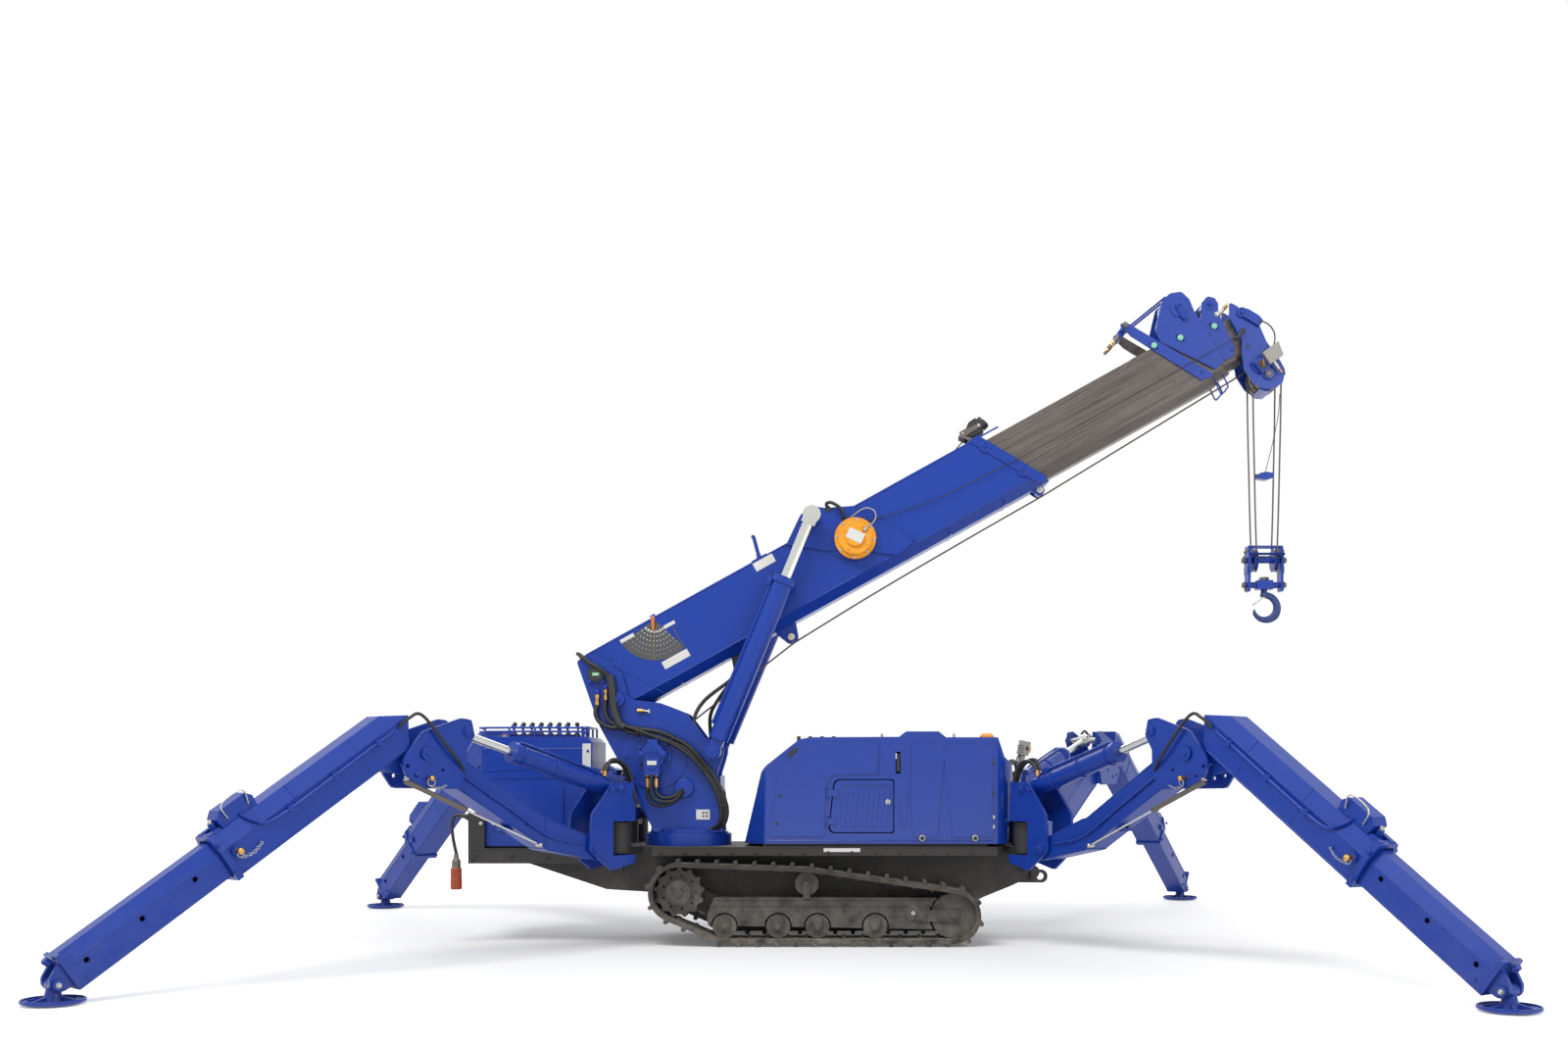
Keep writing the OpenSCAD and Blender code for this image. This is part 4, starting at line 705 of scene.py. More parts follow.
class MINICRANE_OT_power_lead(bpy.types.Operator):
    """Makes the short power lead and its plug at the rear"""

    bl_idname = "minicrane.power_lead"
    bl_label = "Power Lead and Plug"

    def execute(self, context):
        end = Vector(LEAD_ROUTE[-1])
        down = Vector((0, 0, -1))
        plug = Piece("power_plug_dressed")
        plug.turned(end + Vector((0, 0, 26)), end, [(0, 9.5), (6, 10.5), (22, 12.5), (30, 18), (34, 20), (64, 20.5), (70, 24)], cast_steel(), 24)
        body = [(66, 22), (69, 26), (76, 26.5), (80, 25), (110, 24.6), (114, 26.6), (152, 26.8), (164, 26), (166, 23), (150, 21)]
        plug.turned(end + Vector((0, 0, 26)), end, body, plug_red(), 32)
        for k in range(12):
            q = math.radians(30 * k)
            a = end + Vector((25 * math.cos(q), 25 * math.sin(q), -56))
            plug.rod(a, a + down * 26, 1.8, plug_red(), 8)
        for k in range(5):
            q = math.radians(72 * k + 10)
            a = end + Vector((12 * math.cos(q), 12 * math.sin(q), -118))
            plug.rod(a, a + down * 20, 2.5, brass(), 10)
        made = plug.ride("chassis", 0.4)
        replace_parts(made, "power_plug")
        lead = hose("power_lead_dressed", LEAD_ROUTE, body="chassis", r=8, mat=wire_sheath(), steps=4, far_end="plug",
                    stiffness="medium", with_pieces=[made])
        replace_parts(lead, "power_lead")
        relief = Piece("lead_gland")
        a = Vector(LEAD_ROUTE[0]) + Vector((1.5, 0, 0))
        relief.turned(a, a + Vector((-10, 0, 2)), [(0, 17), (5, 17), (7, 14), (14, 13), (18, 11), (36, 9)], black_moulding(), 20)
        relief.ride("chassis", 0.4)
        return {"FINISHED"}


NODE_FINISHES = {
    "tracks": rubber,
    "track_wheels": wheel_iron,
    "chassis_frame": black_frame,
    "track_frames": black_frame,
    "engine_block": black_frame,
    "engine_cowl": gloss_paint,
    "cowl_hatch": gloss_paint,
    "winch_drum": cast_steel,
    "head_sheaves": cast_steel,
    "derrick_rods": chrome,
    "cable_reel": reel_yellow,
    "beacon": grey_cable,
    "boom_second": lambda: part_painted("second", 0.0992, 0.4),
    "boom_third": lambda: part_painted("third", 0.0832, 0.219),
    "boom_fourth": lambda: part_painted("fourth", 0.0672, 0.203),
    "boom_head": lambda: part_painted("head", 0.0512, 0.187),
}


class MINICRANE_OT_frame_finishes(bpy.types.Operator):
    """Gives every solid of the frame its finish"""

    bl_idname = "minicrane.frame_finishes"
    bl_label = "Frame Finishes"

    def execute(self, context):
        for name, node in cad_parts.items():
            made = NODE_FINISHES.get(name, chrome if name.endswith("lift_rod") else paint)()
            for slot in node.material_slots:
                slot.material = made
        return {"FINISHED"}


# Boom and its sections


def near_far(y0, y1):
    """The same span on both sides of the middle."""
    return [(-y1, -y0), (y0, y1)]


CHEEK_LOW = [(1046, 256), (1186, 149), (1384, 29), (1480, -38)]
CHEEK_FRONT = [(1402, 266), (1480, 166), (1590, -27)]


def load_chart(p):
    """Fan-shaped chart with plain arcs, read by a hanging pointer."""
    cx, cz, grey, white = 331, 248, chart_grey(), white_plate()

    def arc(r0, r1, a0, a1, y0, y1, mat, steps=20):
        outer = [(cx + r1 * math.cos(a0 + (a1 - a0) * k / steps), cz + r1 * math.sin(a0 + (a1 - a0) * k / steps)) for k in range(steps + 1)]
        inner = [(cx + r0 * math.cos(a1 + (a0 - a1) * k / steps), cz + r0 * math.sin(a1 + (a0 - a1) * k / steps)) for k in range(steps + 1)]
        p.slab(outer + inner, y0, y1, mat)

    a0, a1 = math.radians(-174), math.radians(-71)
    arc(16, 192, a0, a1, -116.4, -115, grey, 30)
    for k, r in enumerate((52, 76, 98, 120, 142, 163)):
        width = 10 if k == 0 else 5.5
        count = 7 + 2 * k
        for i in range(count):
            lo = a0 + (a1 - a0) * (i + 0.18) / count + 0.05
            hi = a0 + (a1 - a0) * (i + (0.72 if k else 0.98)) / count
            arc(r, r + width, lo, min(hi, a1 - 0.03), -116.9, -116.4, white, 4)
    for r in range(40, 190, 22):
        q = math.radians(-119)
        p.rod((cx + r * math.cos(q), -117.2, cz + r * math.sin(q)), (cx + (r + 12) * math.cos(q), -117.2, cz + (r + 12) * math.sin(q)), 1.2, orange_mark(), 6)
    p.box((140, -117, 226), (212, -115, 243), white)
    p.box((352, -117, 186), (410, -115, 202), white)
    p.box((262, -117, 18), (398, -115, 56), white)
    p.box((388, -116.9, 70), (394, -115, 176), grey)
    for x, z in ((267, 23), (393, 23), (267, 51), (393, 51), (146, 234), (206, 234)):
        p.rod((x, -116.5, z), (x, -118, z), 2, zinc(), 8)


class MINICRANE_OT_boom_fittings(bpy.types.Operator):
    """Adds the boom's welds, chart, horn foot, lamp, reel fittings and brackets"""

    bl_idname = "minicrane.boom_fittings"
    bl_label = "Boom Fittings"

    def execute(self, context):
        blue, black, steel = paint(), black_moulding(), zinc()
        p = Piece("boom_seams", BOOM)
        for s in (-1, 1):
            y = s * 115.5
            p.box((-28, min(y - 2, y + 2), 254.5), (2190, max(y - 2, y + 2), 262.3), blue)
            p.tube([(70, y, -33), (2260, y, -33)], 2.4, blue, 6, 1)
            for line in (CHEEK_LOW, CHEEK_FRONT):
                p.tube([(x, s * 124, z) for x, z in line], 2.6, blue, 6, 3, smooth=False)
            p.rod((1270, s * 115, 120), (1270, s * 122, 120), 52, blue, 32, 1.5)
            p.hoop((1270, s * 121.5, 120), (0, 1, 0), 44, 2.0, blue)
            for x, z, r in ((2088, 205, 27), (2190, 20, 27)):
                p.disc((x, s * 118, z), (0, s, 0), r, 6, blue, 24)
                p.hoop((x, s * 124, z), (0, 1, 0), r * 0.66, 1.8, blue)
                p.bolt((x, s * 124, z), (0, s, 0), blue, 8)
            for z in (14, 70, 126):
                p.bolt((0 + 70, s * 115.6, z + 60), (0, s, 0), blue, 6)
            p.tube([(-20, y, 190), (60, y, 150), (200, y, -72)], 2.4, blue, 6, 3)
        for x in (300, 720, 1750, 2050):
            p.rod((x, -115, -74), (x, 115, -74), 3, blue, 8)
        p.ride("boom")
        p = Piece("boom_fittings", BOOM)
        load_chart(p)
        p.box((862, -117, 212), (966, -115, 254), white_plate())
        for x, z in ((868, 217), (960, 217), (868, 249), (960, 249)):
            p.rod((x, -116.5, z), (x, -118, z), 2, steel, 8)
        # Hanging pointer of the chart and its bracket.
        down = Vector((-math.sin(BOOM_TILT), 0, -math.cos(BOOM_TILT)))
        side = Vector((math.cos(BOOM_TILT), 0, -math.sin(BOOM_TILT)))
        top = Vector((331, -122, 262))
        p.loft([[top + down * d + side * (w * a) + Vector((0, b, 0)) for a, b in ((-1, -2), (1, -2), (1, 2), (-1, 2))]
                for d, w in ((-4, 6), (4, 9), (40, 7), (66, 3))], orange_mark())
        p.rod(top + Vector((0, -5, 0)), top + Vector((0, 8, 0)), 4, steel, 10)
        p.box((320, -119, 254), (344, -113, 274), blue)
        # Foot of the hook rest.
        p.box((872, -24, 261), (936, 24, 279), blue)
        p.turned((905, 0, 274), (930, 0, 374), [(0, 15), (16, 12), (30, 9.2)], blue, 16)
        p.ball((929, 0, 383), 10, blue)
        # Bracket of the hoses below the boom.
        p.slab([(560, -74), (676, -74), (604, -186), (534, -152)], -34, -27, black)
        p.slab([(560, -74), (676, -74), (604, -186), (534, -152)], 27, 34, black)
        p.box((556, -34, -152), (612, 34, -138), black)
        for y in (-18, 18):
            p.rod((570, y, -170), (600, y, -118), 12, brass(), 12)
            p.bolt((585, y, -145), (-0.5, 0, -0.87), steel, 14)
        # Guide rollers of the rope get side discs and pins.
        for x, z in ((2232, -90), (857, -128)):
            for s in (-1, 1):
                p.disc((x, s * 42, z), (0, s, 0), 17, 7, steel, 20)
                p.bolt((x, s * 48, z), (0, s, 0), steel, 9)
        for s in (-1, 1):
            p.disc((1215, s * 137, 309), (0, s, 0), 17, 5, blue, 20)
        p.ride("boom", 0.5)
        self.work_light()
        self.reel()
        return {"FINISHED"}

    def work_light(self):
        black, grey = black_moulding(), cast_steel()
        p = Piece("work_light", BOOM)
        body = [(2026, 306), (2064, 276), (2126, 276), (2142, 330), (2122, 356), (2086, 352)]
        p.slab(body, -64, 4, black)
        for y in (-70, 8):
            p.slab([(2036, 300), (2070, 284), (2118, 284), (2130, 328), (2116, 344), (2088, 342)], y - 4, y + 4, black)
        p.rod((2132, -30, 318), (2156, -30, 326), 33, black, 28)
        p.rod((2154, -30, 325.5), (2160, -30, 327.5), 29, lamp_glass(), 28)
        for z in (290, 304, 318, 332):
            p.box((2030, -58, z - 2), (2060, -2, z + 2), black)
        for y in (-78, 16):
            p.slab([(2014, 312), (2024, 330), (2128, 322), (2130, 306), (2040, 300), (2076, 262), (2052, 262)], y - 3, y + 3, grey)
            p.bolt((2118, y, 314), (0, -1 if y < 0 else 1, 0), zinc(), 8)
            p.bolt((2034, y, 318), (0, -1 if y < 0 else 1, 0), zinc(), 6)
        p.box((2040, -84, 260), (2100, 22, 268), grey)
        p.ride("boom", 0.8)
        hose("work_light_wire", [(2046, -30, 286), (2014, -34, 286), (1985, -40, 276), (1960, -44, 266), (1925, -48, 265.5)], BOOM, "boom",
             r=3, mat=wire_sheath(), declared=False)

    def reel(self):
        p = Piece("reel_fittings", BOOM)
        cx, cz, yellow = 1343, 121, reel_yellow()
        for k in range(8):
            q = math.radians(45 * k + 12)
            p.bolt((cx + 87 * math.cos(q), -152.5, cz + 87 * math.sin(q)), (0, -1, 0), zinc(), 5.5)
        for k in range(4):
            q = math.radians(90 * k + 30)
            p.bolt((cx + 60 * math.cos(q), -174.5, cz + 60 * math.sin(q)), (0, -1, 0), yellow, 5)
        p.hoop((cx, -152.8, cz), (0, -1, 0), 81, 1.6, black_moulding(), 200, 250)
        p.hoop((cx, -152.8, cz), (0, -1, 0), 96, 2.4, yellow)
        p.hoop((cx, -174.8, cz), (0, -1, 0), 70, 2.2, yellow)
        p.hoop((cx, -174.8, cz), (0, -1, 0), 48, 2.2, yellow)
        q = math.radians(-54)
        u, v = (math.cos(q), math.sin(q)), (-math.sin(q), math.cos(q))
        p.slab([(cx + 4 + u[0] * a + v[0] * b, cz + 6 + u[1] * a + v[1] * b) for a, b in ((-40, -25), (40, -25), (40, 25), (-40, 25))],
               -189.2, -187, white_plate())
        p.turned((1390, -172, 128), (1418, -184, 136), [(0, 7), (4, 10), (16, 10), (18, 7), (30, 6)], zinc(), 16)
        p.box((1330, -133, 196), (1352, -118, 232), black_moulding())
        p.box((1286, -130, 296), (1312, -112, 318), black_moulding())
        p.ride("boom", 0.4)
        hose("reel_cable", [(1417, -183, 136), (1442, -190, 138), (1472, -184, 156), (1480, -172, 190), (1452, -160, 220), (1404, -148, 222),
                            (1362, -136, 214), (1348, -128, 206)], BOOM, "boom", r=3.4, mat=grey_cable())
        hose("reel_hose", [(1298, -122, 306), (1304, -134, 330), (1326, -146, 322), (1348, -152, 284), (1352, -150, 256), (1342, -138, 234),
                           (1340, -128, 222)], BOOM, "boom", r=8)


def stage_run(name, start, end, y, r, mat, declared=4):
    """A line stretched from the boom's mouth to the head: one piece between each two sections."""
    stops = [("boom", "second", start[0], 3150), ("second", "third", 3150, 3236), ("third", "fourth", 3236, 3322), ("fourth", "head", 3322, end[0])]
    for k, (a, b, x0, x1) in enumerate(stops):
        def at(x):
            return (x, y, start[1] + (end[1] - start[1]) * (x - start[0]) / (end[0] - start[0]))
        line = [at(x0 + (x1 - x0) * i / 6) for i in range(7)]
        hose(f"{name}_{k + 1}", line, BOOM, bend=(a, b, line[0], line[-1]), r=r, mat=mat, lay="taut", steps=3, stiffness="medium",
             declared=k < declared)


class MINICRANE_OT_section_fittings(bpy.types.Operator):
    """Adds the pressed panels, collars' caps, studs and links on the telescoping sections"""

    bl_idname = "minicrane.section_fittings"
    bl_label = "Section Fittings"

    def cap(self, p, x, z, y, s):
        """Grease point: a lozenge flange with two bolts and a pale green cap."""
        c, d = math.cos(math.radians(-61)), math.sin(math.radians(-61))
        flange = [(x + 26 * c, z + 26 * d), (x + 11 * d + 8 * c, z - 11 * c + 8 * d), (x + 13 * d, z - 13 * c), (x + 11 * d - 8 * c, z - 11 * c - 8 * d),
                  (x - 26 * c, z - 26 * d), (x - 11 * d - 8 * c, z + 11 * c - 8 * d), (x - 13 * d, z + 13 * c), (x - 11 * d + 8 * c, z + 11 * c + 8 * d)]
        p.slab(flange, min(s * y, s * (y + 5)), max(s * y, s * (y + 5)), paint())
        for k in (-1, 1):
            p.bolt((x + k * 20 * c, s * (y + 5), z + k * 20 * d), (0, s, 0), paint(), 4.5, washer=False)
        p.turned((x, s * (y + 4), z), (x, s * (y + 12), z), [(0, 14), (4, 14), (6, 12.5), (6.6, 8), (9, 7), (10, 3)], green_cap(), 20)

    def execute(self, context):
        blue, steel = paint(), cast_steel()
        p = Piece("second_section_panels", BOOM)
        for s in (-1, 1):
            y = s * 99
            # Raised rims of the pressed panel and the ridge above the lower bend.
            rims = [[(2190, 192), (2770, 206), (2900, 232)], [(2190, 46), (2960, 60), (3010, 8)], [(2900, 232), (2936, 224), (2972, 160), (2978, 74), (2960, 60)]]
            for line in rims:
                p.tube([(x, y, z) for x, z in line], 3.4, bare_steel(), 8, 3)
            p.tube([(2200, y, 216), (3000, y, 216)], 1.6, bare_steel(), 6, 1)
            p.tube([(2260, y, 8), (3110, y, 8)], 2.0, bare_steel(), 6, 1)
        p.ride("second")
        p = Piece("second_fittings", BOOM)
        for s in (-1, 1):
            self.cap(p, 3020, 238, 106, s)
            p.bolt((2946, s * 119, 388), (0, s, 0), steel, 11)
            p.bolt((3160, s * 107, 20), (0, s, 0), blue, 7)
            # Adjusting studs of the section ropes.
            p.rod((2838, s * 52, 341), (2950, s * 52, 378), 8, steel, 12)
            for d in (30, 44):
                a = Vector((2838, s * 52, 341)) + Vector((112, 0, 37)).normalized() * d
                p.bolt(a, (-112, 0, -37), brass(), 12, washer=False)
            p.rod((2946, s * 52, 376), (3196, s * 52, 421), 5, blue, 10)
        p.box((2930, -98, 372), (2962, 98, 392), blue)
        p.box((2912, -70, 356), (2934, 70, 384), blue)
        p.ride("second", 0.5)
        p = Piece("third_fittings", BOOM)
        for s in (-1, 1):
            self.cap(p, 3150, 211, 94, s)
            y = s * 94
            p.hoop((3215, y, 339), (0, 1, 0), 40, 4, zinc(), 20, 250)
            c = [(3200, 356), (3230, 356), (3232, 300), (3222, 268), (3208, 268), (3198, 300)]
            p.slab(c, min(y + s * 5, y + s * 12), max(y + s * 5, y + s * 12), blue)
            for x, z in ((3206, 346), (3224, 346), (3215, 280)):
                p.bolt((x, y + s * 12, z), (0, s, 0), blue, 6.5)
            p.hoop((3290, s * 60, 300), (0, 1, 0), 26, 4, black_moulding(), 40, 200)
        p.tube([(3210, -60, -10), (3202, -60, -104), (3212, -60, -112), (3240, -60, -100), (3250, -60, -88), (3254, -60, 0)], 4, blue, 8, 3)
        p.tube([(3210, 60, -10), (3202, 60, -104), (3212, 60, -112), (3240, 60, -100), (3250, 60, -88), (3254, 60, 0)], 4, blue, 8, 3)
        p.rod((3226, -60, -108), (3226, 60, -108), 4, blue, 8)
        p.ride("third", 0.5)
        p = Piece("fourth_fittings", BOOM)
        for s in (-1, 1):
            self.cap(p, 3322, 183, 78, s)
            p.bolt((3356, s * 80, 286), (0, s, 0), blue, 13)
            p.bolt((3362, s * 78, 229), (0, s, 0), zinc(), 9)
            p.bolt((3346, s * 78, 44), (0, s, 0), blue, 7)
            p.rod((3374, s * 44, 226), (3450, s * 44, 250), 7, zinc(), 12)
            for d in (40, 52):
                a = Vector((3374, s * 44, 226)) + Vector((76, 0, 24)).normalized() * d
                p.bolt(a, (76, 0, 24), brass(), 11, washer=False)
        p.ride("fourth", 0.5)
        self.head()
        return {"FINISHED"}

    def head(self):
        blue, black = paint(), black_moulding()
        p = Piece("head_fittings", BOOM)
        for s in (-1, 1):
            y = s * 84
            p.disc((3466, y, 176), (0, s, 0), 24, 10, blue, 24)
            p.bolt((3466, y + s * 10, 176), (0, s, 0), blue, 12)
            p.disc((3437, y, -140), (0, s, 0), 30, 6, blue, 28)
            p.hoop((3437, y + s * 15, -140), (0, 1, 0), 14, 2, blue)
            p.rod((3414, y, 22), (3414, y + s * 1, 22), 9, black, 16)
            p.slab([(3384, -50), (3420, -60), (3424, -110), (3396, -116), (3380, -90)], min(y, y + s * 8), max(y, y + s * 8), blue)
        # Guard strap round the head sheaves.
        for k in range(9):
            q0, q1 = math.radians(-150 + 20 * k), math.radians(-150 + 20 * (k + 1))
            c = (3437, -140)
            ring = [(c[0] + 82 * math.cos(q0), c[1] + 82 * math.sin(q0)), (c[0] + 82 * math.cos(q1), c[1] + 82 * math.sin(q1)),
                    (c[0] + 77 * math.cos(q1), c[1] + 77 * math.sin(q1)), (c[0] + 77 * math.cos(q0), c[1] + 77 * math.sin(q0))]
            if k not in (2, 3, 4, 5):
                p.slab(ring, -78, 78, blue)
        # Cable arm in front and the grip beside it.
        p.slab([(3468, 196), (3496, 176), (3528, 120), (3532, 92), (3504, 78), (3480, 120), (3456, 160)], -100, -90, blue)
        p.rod((3380, -92, 78), (3424, -92, 96), 9, black, 14)
        p.ball((3428, -92, 98), 11, black)
        # Limit switch with its cover, plunger and lead.
        p.slab([(3446, -42), (3536, -30), (3526, -98), (3452, -108)], -132, -96, grey_cable())
        p.slab([(3392, -58), (3444, -52), (3448, -118), (3404, -124)], -112, -90, blue)
        p.slab([(3404, -70), (3436, -66), (3438, -108), (3410, -112)], -116, -111, black)
        p.rod((3478, -112, -104), (3482, -112, -144), 7, zinc(), 12)
        p.rod((3482, -112, -140), (3486, -112, -166), 4, brass(), 12)
        p.tube([(3440, -114, -70), (3430, -120, -84), (3424, -118, -100)], 3, orange_mark(), 8)
        p.ride("head", 0.6)
        hose("limit_switch_lead", [(3500, -95, 96), (3524, -106, 88), (3542, -112, 56), (3544, -114, 16), (3530, -114, -16), (3514, -114, -34)],
             BOOM, "head", r=3.2, mat=wire_sheath(), declared=False)


def bare_steel():
    return finish("bare_bead", linear("6A625D"), rough=0.5, metal=0.25, drift=0.3, scale=9, grain=300, fine=0.4, wave=0.4, bump=0.2, dust=0.1)


# Hoist rope, block and hook

HEAD = BOOM @ Vector((3437, 0, -140)) * 1000
BLOCK_Z = HEAD.z - 872
HOOK_Z = BLOCK_Z - 225


class MINICRANE_OT_hoist(bpy.types.Operator):
    """Strings the hoist rope and dresses the block and the hook"""

    bl_idname = "minicrane.hoist"
    bl_label = "Hoist Rope and Hook"

    def execute(self, context):
        r = sizes().rope * 1000
        wire = rope_steel()
        # From the drum to the rear guide, then along the boom.
        guide = BOOM @ Vector((857, 0, -128 - 24 - r)) * 1000
        start = Vector((-650, 0, 874)) + Vector((60, 0, 82))
        hose("hoist_rope_drum", [start, mid(start, guide, 0.33), mid(start, guide, 0.66), guide], bend=("mast", "boom", start, guide), r=r, mat=wire,
             lay="taut", stiffness="medium")
        hose("hoist_rope_boom", [(857, 0, -128 - 24 - r), (1300, 0, -136), (1800, 0, -124), (2232, 0, -90 - 24 - r)], BOOM, "boom", r=r, mat=wire,
             lay="taut", stiffness="medium")
        stage_run("hoist_rope_stage", (2232, -90 - 24 - r), (3420, -140 + 71), 0, r, wire)
        stage_run("sensor_cable", (2232, 78), (3385, 80), -128, 2, wire_sheath(), declared=1)
        hose("sensor_cable_boom", [(1343, -128, 196), (1500, -128, 150), (1800, -128, 96), (2232, -128, 78)], BOOM, "boom", r=2, mat=wire_sheath(),
             lay="taut", stiffness="medium")
        # Falls.
        block = Vector((HEAD.x, 0, BLOCK_Z))
        first = None
        for sx in (-1, 1):
            for sy in (-1, 1):
                a = Vector((HEAD.x + sx * 67.3, sy * 54, HEAD.z - 6))
                b = block + Vector((sx * 48, sy * 50.3, 4))
                bow = Vector((sx * 2.0, 0, 0))
                line = [a, mid(a, b, 0.25) + bow, mid(a, b, 0.5) + bow, mid(a, b, 0.75) + bow, b]
                made = hose(f"fall_{'near' if sy < 0 else 'far'}_{'rear' if sx < 0 else 'front'}", line, bend=("falls", "block", a, b), r=r, mat=wire,
                            lay="taut", stiffness="medium")
                first = first or made
        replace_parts(first, "rope_falls")
        self.weight()
        self.block()
        self.hook()
        self.rope_on_drum()
        return {"FINISHED"}

    def weight(self):
        """Weight that trips the upper limit switch, on its thin cord."""
        p = Piece("switch_weight")
        x, z = HEAD.x, 2214
        outline = [(x - 40, z - 14), (x + 6, z - 20), (x + 42, z - 8), (x + 42, z + 12), (x + 4, z + 18), (x - 22, z + 12), (x - 40, z)]
        p.slab(outline, -22, 22, paint())
        p.rod((x - 34, 0, z - 10), (x - 34, 0, z + 8), 10, black_moulding(), 14)
        p.rod((x + 8, 0, z + 16), (x + 8, 0, z + 26), 3, zinc(), 10)
        made = p.ride("falls", 1.0)
        hose("switch_cord", [(x + 64, -42, HEAD.z - 84), (x + 60, -30, 2500), (x + 42, -6, 2380), (x + 20, 0, 2285), (x + 8, 0, z + 25)], body="falls",
             r=1.8, mat=wire_sheath(), far_end="fitting", stiffness="limp", with_pieces=[made])

    def block(self):
        p = Piece("block_fittings")
        blue, steel = paint(), cast_steel()
        x = HEAD.x
        for s in (-1, 1):
            p.bolt((x + s * 94, 0, BLOCK_Z), (s, 0, 0), steel, 15)
            p.bolt((x + s * 94, 0, BLOCK_Z - 118), (s, 0, 0), steel, 14)
            p.box((min(x + s * 84, x + s * 88), -34, BLOCK_Z - 64), (max(x + s * 84, x + s * 88), 34, BLOCK_Z - 30), blue)
            for y in (-22, 22):
                p.bolt((x + s * 84, y, BLOCK_Z + 42), (s, 0, 0), steel, 7)
                p.bolt((x + s * 84, y * 0.7, BLOCK_Z - 138), (s, 0, 0), steel, 7)
            for y in (-60, 60):
                p.rod((x - 84, y, BLOCK_Z + 24), (x + 84, y, BLOCK_Z + 24), 6, blue, 12)
        p.ride("block", 0.6)

    def hook(self):
        """Forged hook: an oval bar swept round the bowl, with shank, nut and sprung latch."""
        p = Piece("hook_dressed")
        x, forged = HEAD.x, hook_paint()
        rings = []
        steps = 40
        for i in range(steps + 1):
            t = i / steps
            a = math.radians(95 - 265 * t)
            w = 15 + 10 * t if t < 0.5 else 20 - 26 * (t - 0.5)
            if t > 0.94:
                w *= 1 - (t - 0.94) * 9
            cr = 44 + w
            out = Vector((math.cos(a), 0, math.sin(a)))
            c = Vector((x, 0, HOOK_Z)) + out * cr
            rings.append([c + out * (w * math.cos(q)) + Vector((0, 0.78 * w * math.sin(q) * (1 - 0.16 * math.cos(q)), 0))
                          for q in [2 * math.pi * k / 20 for k in range(20)]])
        p.loft(rings, forged)
        p.turned((x, 0, BLOCK_Z - 92), (x, 0, BLOCK_Z - 400), [(0, 13), (8, 14), (44, 14.5), (62, 15), (70, 18), (78, 19), (84, 15)], forged, 24)
        p.turned((x, 0, BLOCK_Z - 95.5), (x, 0, BLOCK_Z - 80), [(0, 22), (1.5, 24), (13, 24), (15, 22)], cast_steel(), 6)
        # Latch from the throat to the tip.
        tip = Vector((x - 50, 0, HOOK_Z + 14))
        root = Vector((x + 2, 0, HOOK_Z + 52))
        for y in (-11, 11):
            p.loft([[c + Vector((0, y + b, 0)) + n for n, b in ((Vector((0, 0, -5)), -1.2), (Vector((0, 0, 5)), -1.2), (Vector((0, 0, 5)), 1.2), (Vector((0, 0, -5)), 1.2))]
                    for c in (root, mid(root, tip, 0.5), tip)], zinc())
        p.rod(root + Vector((0, -14, 0)), root + Vector((0, 14, 0)), 3.4, zinc(), 12)
        p.tube([root + Vector((0, -6, 0)), root + Vector((-8, -6, 9)), mid(root, tip, 0.6) + Vector((0, -6, 3))], 1.3, zinc(), 6)
        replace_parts(p.ride("hook"), "hook")

    def rope_on_drum(self):
        """Layer of rope wound on the drum."""
        p = Piece("rope_on_drum")
        c = Vector((-650, 0, 874))
        r = sizes().rope * 1000
        turns, top = 22, 70 + 24 + r
        line = []
        for k in range(turns * 20 + 1):
            q = 2 * math.pi * k / 20
            line.append(c + Vector((top * math.cos(q), -96 + 192 * k / (turns * 20), top * math.sin(q))))
        p.loft(rings_along(line, r, 6), rope_steel())
        p.ride("drum")


# Mast


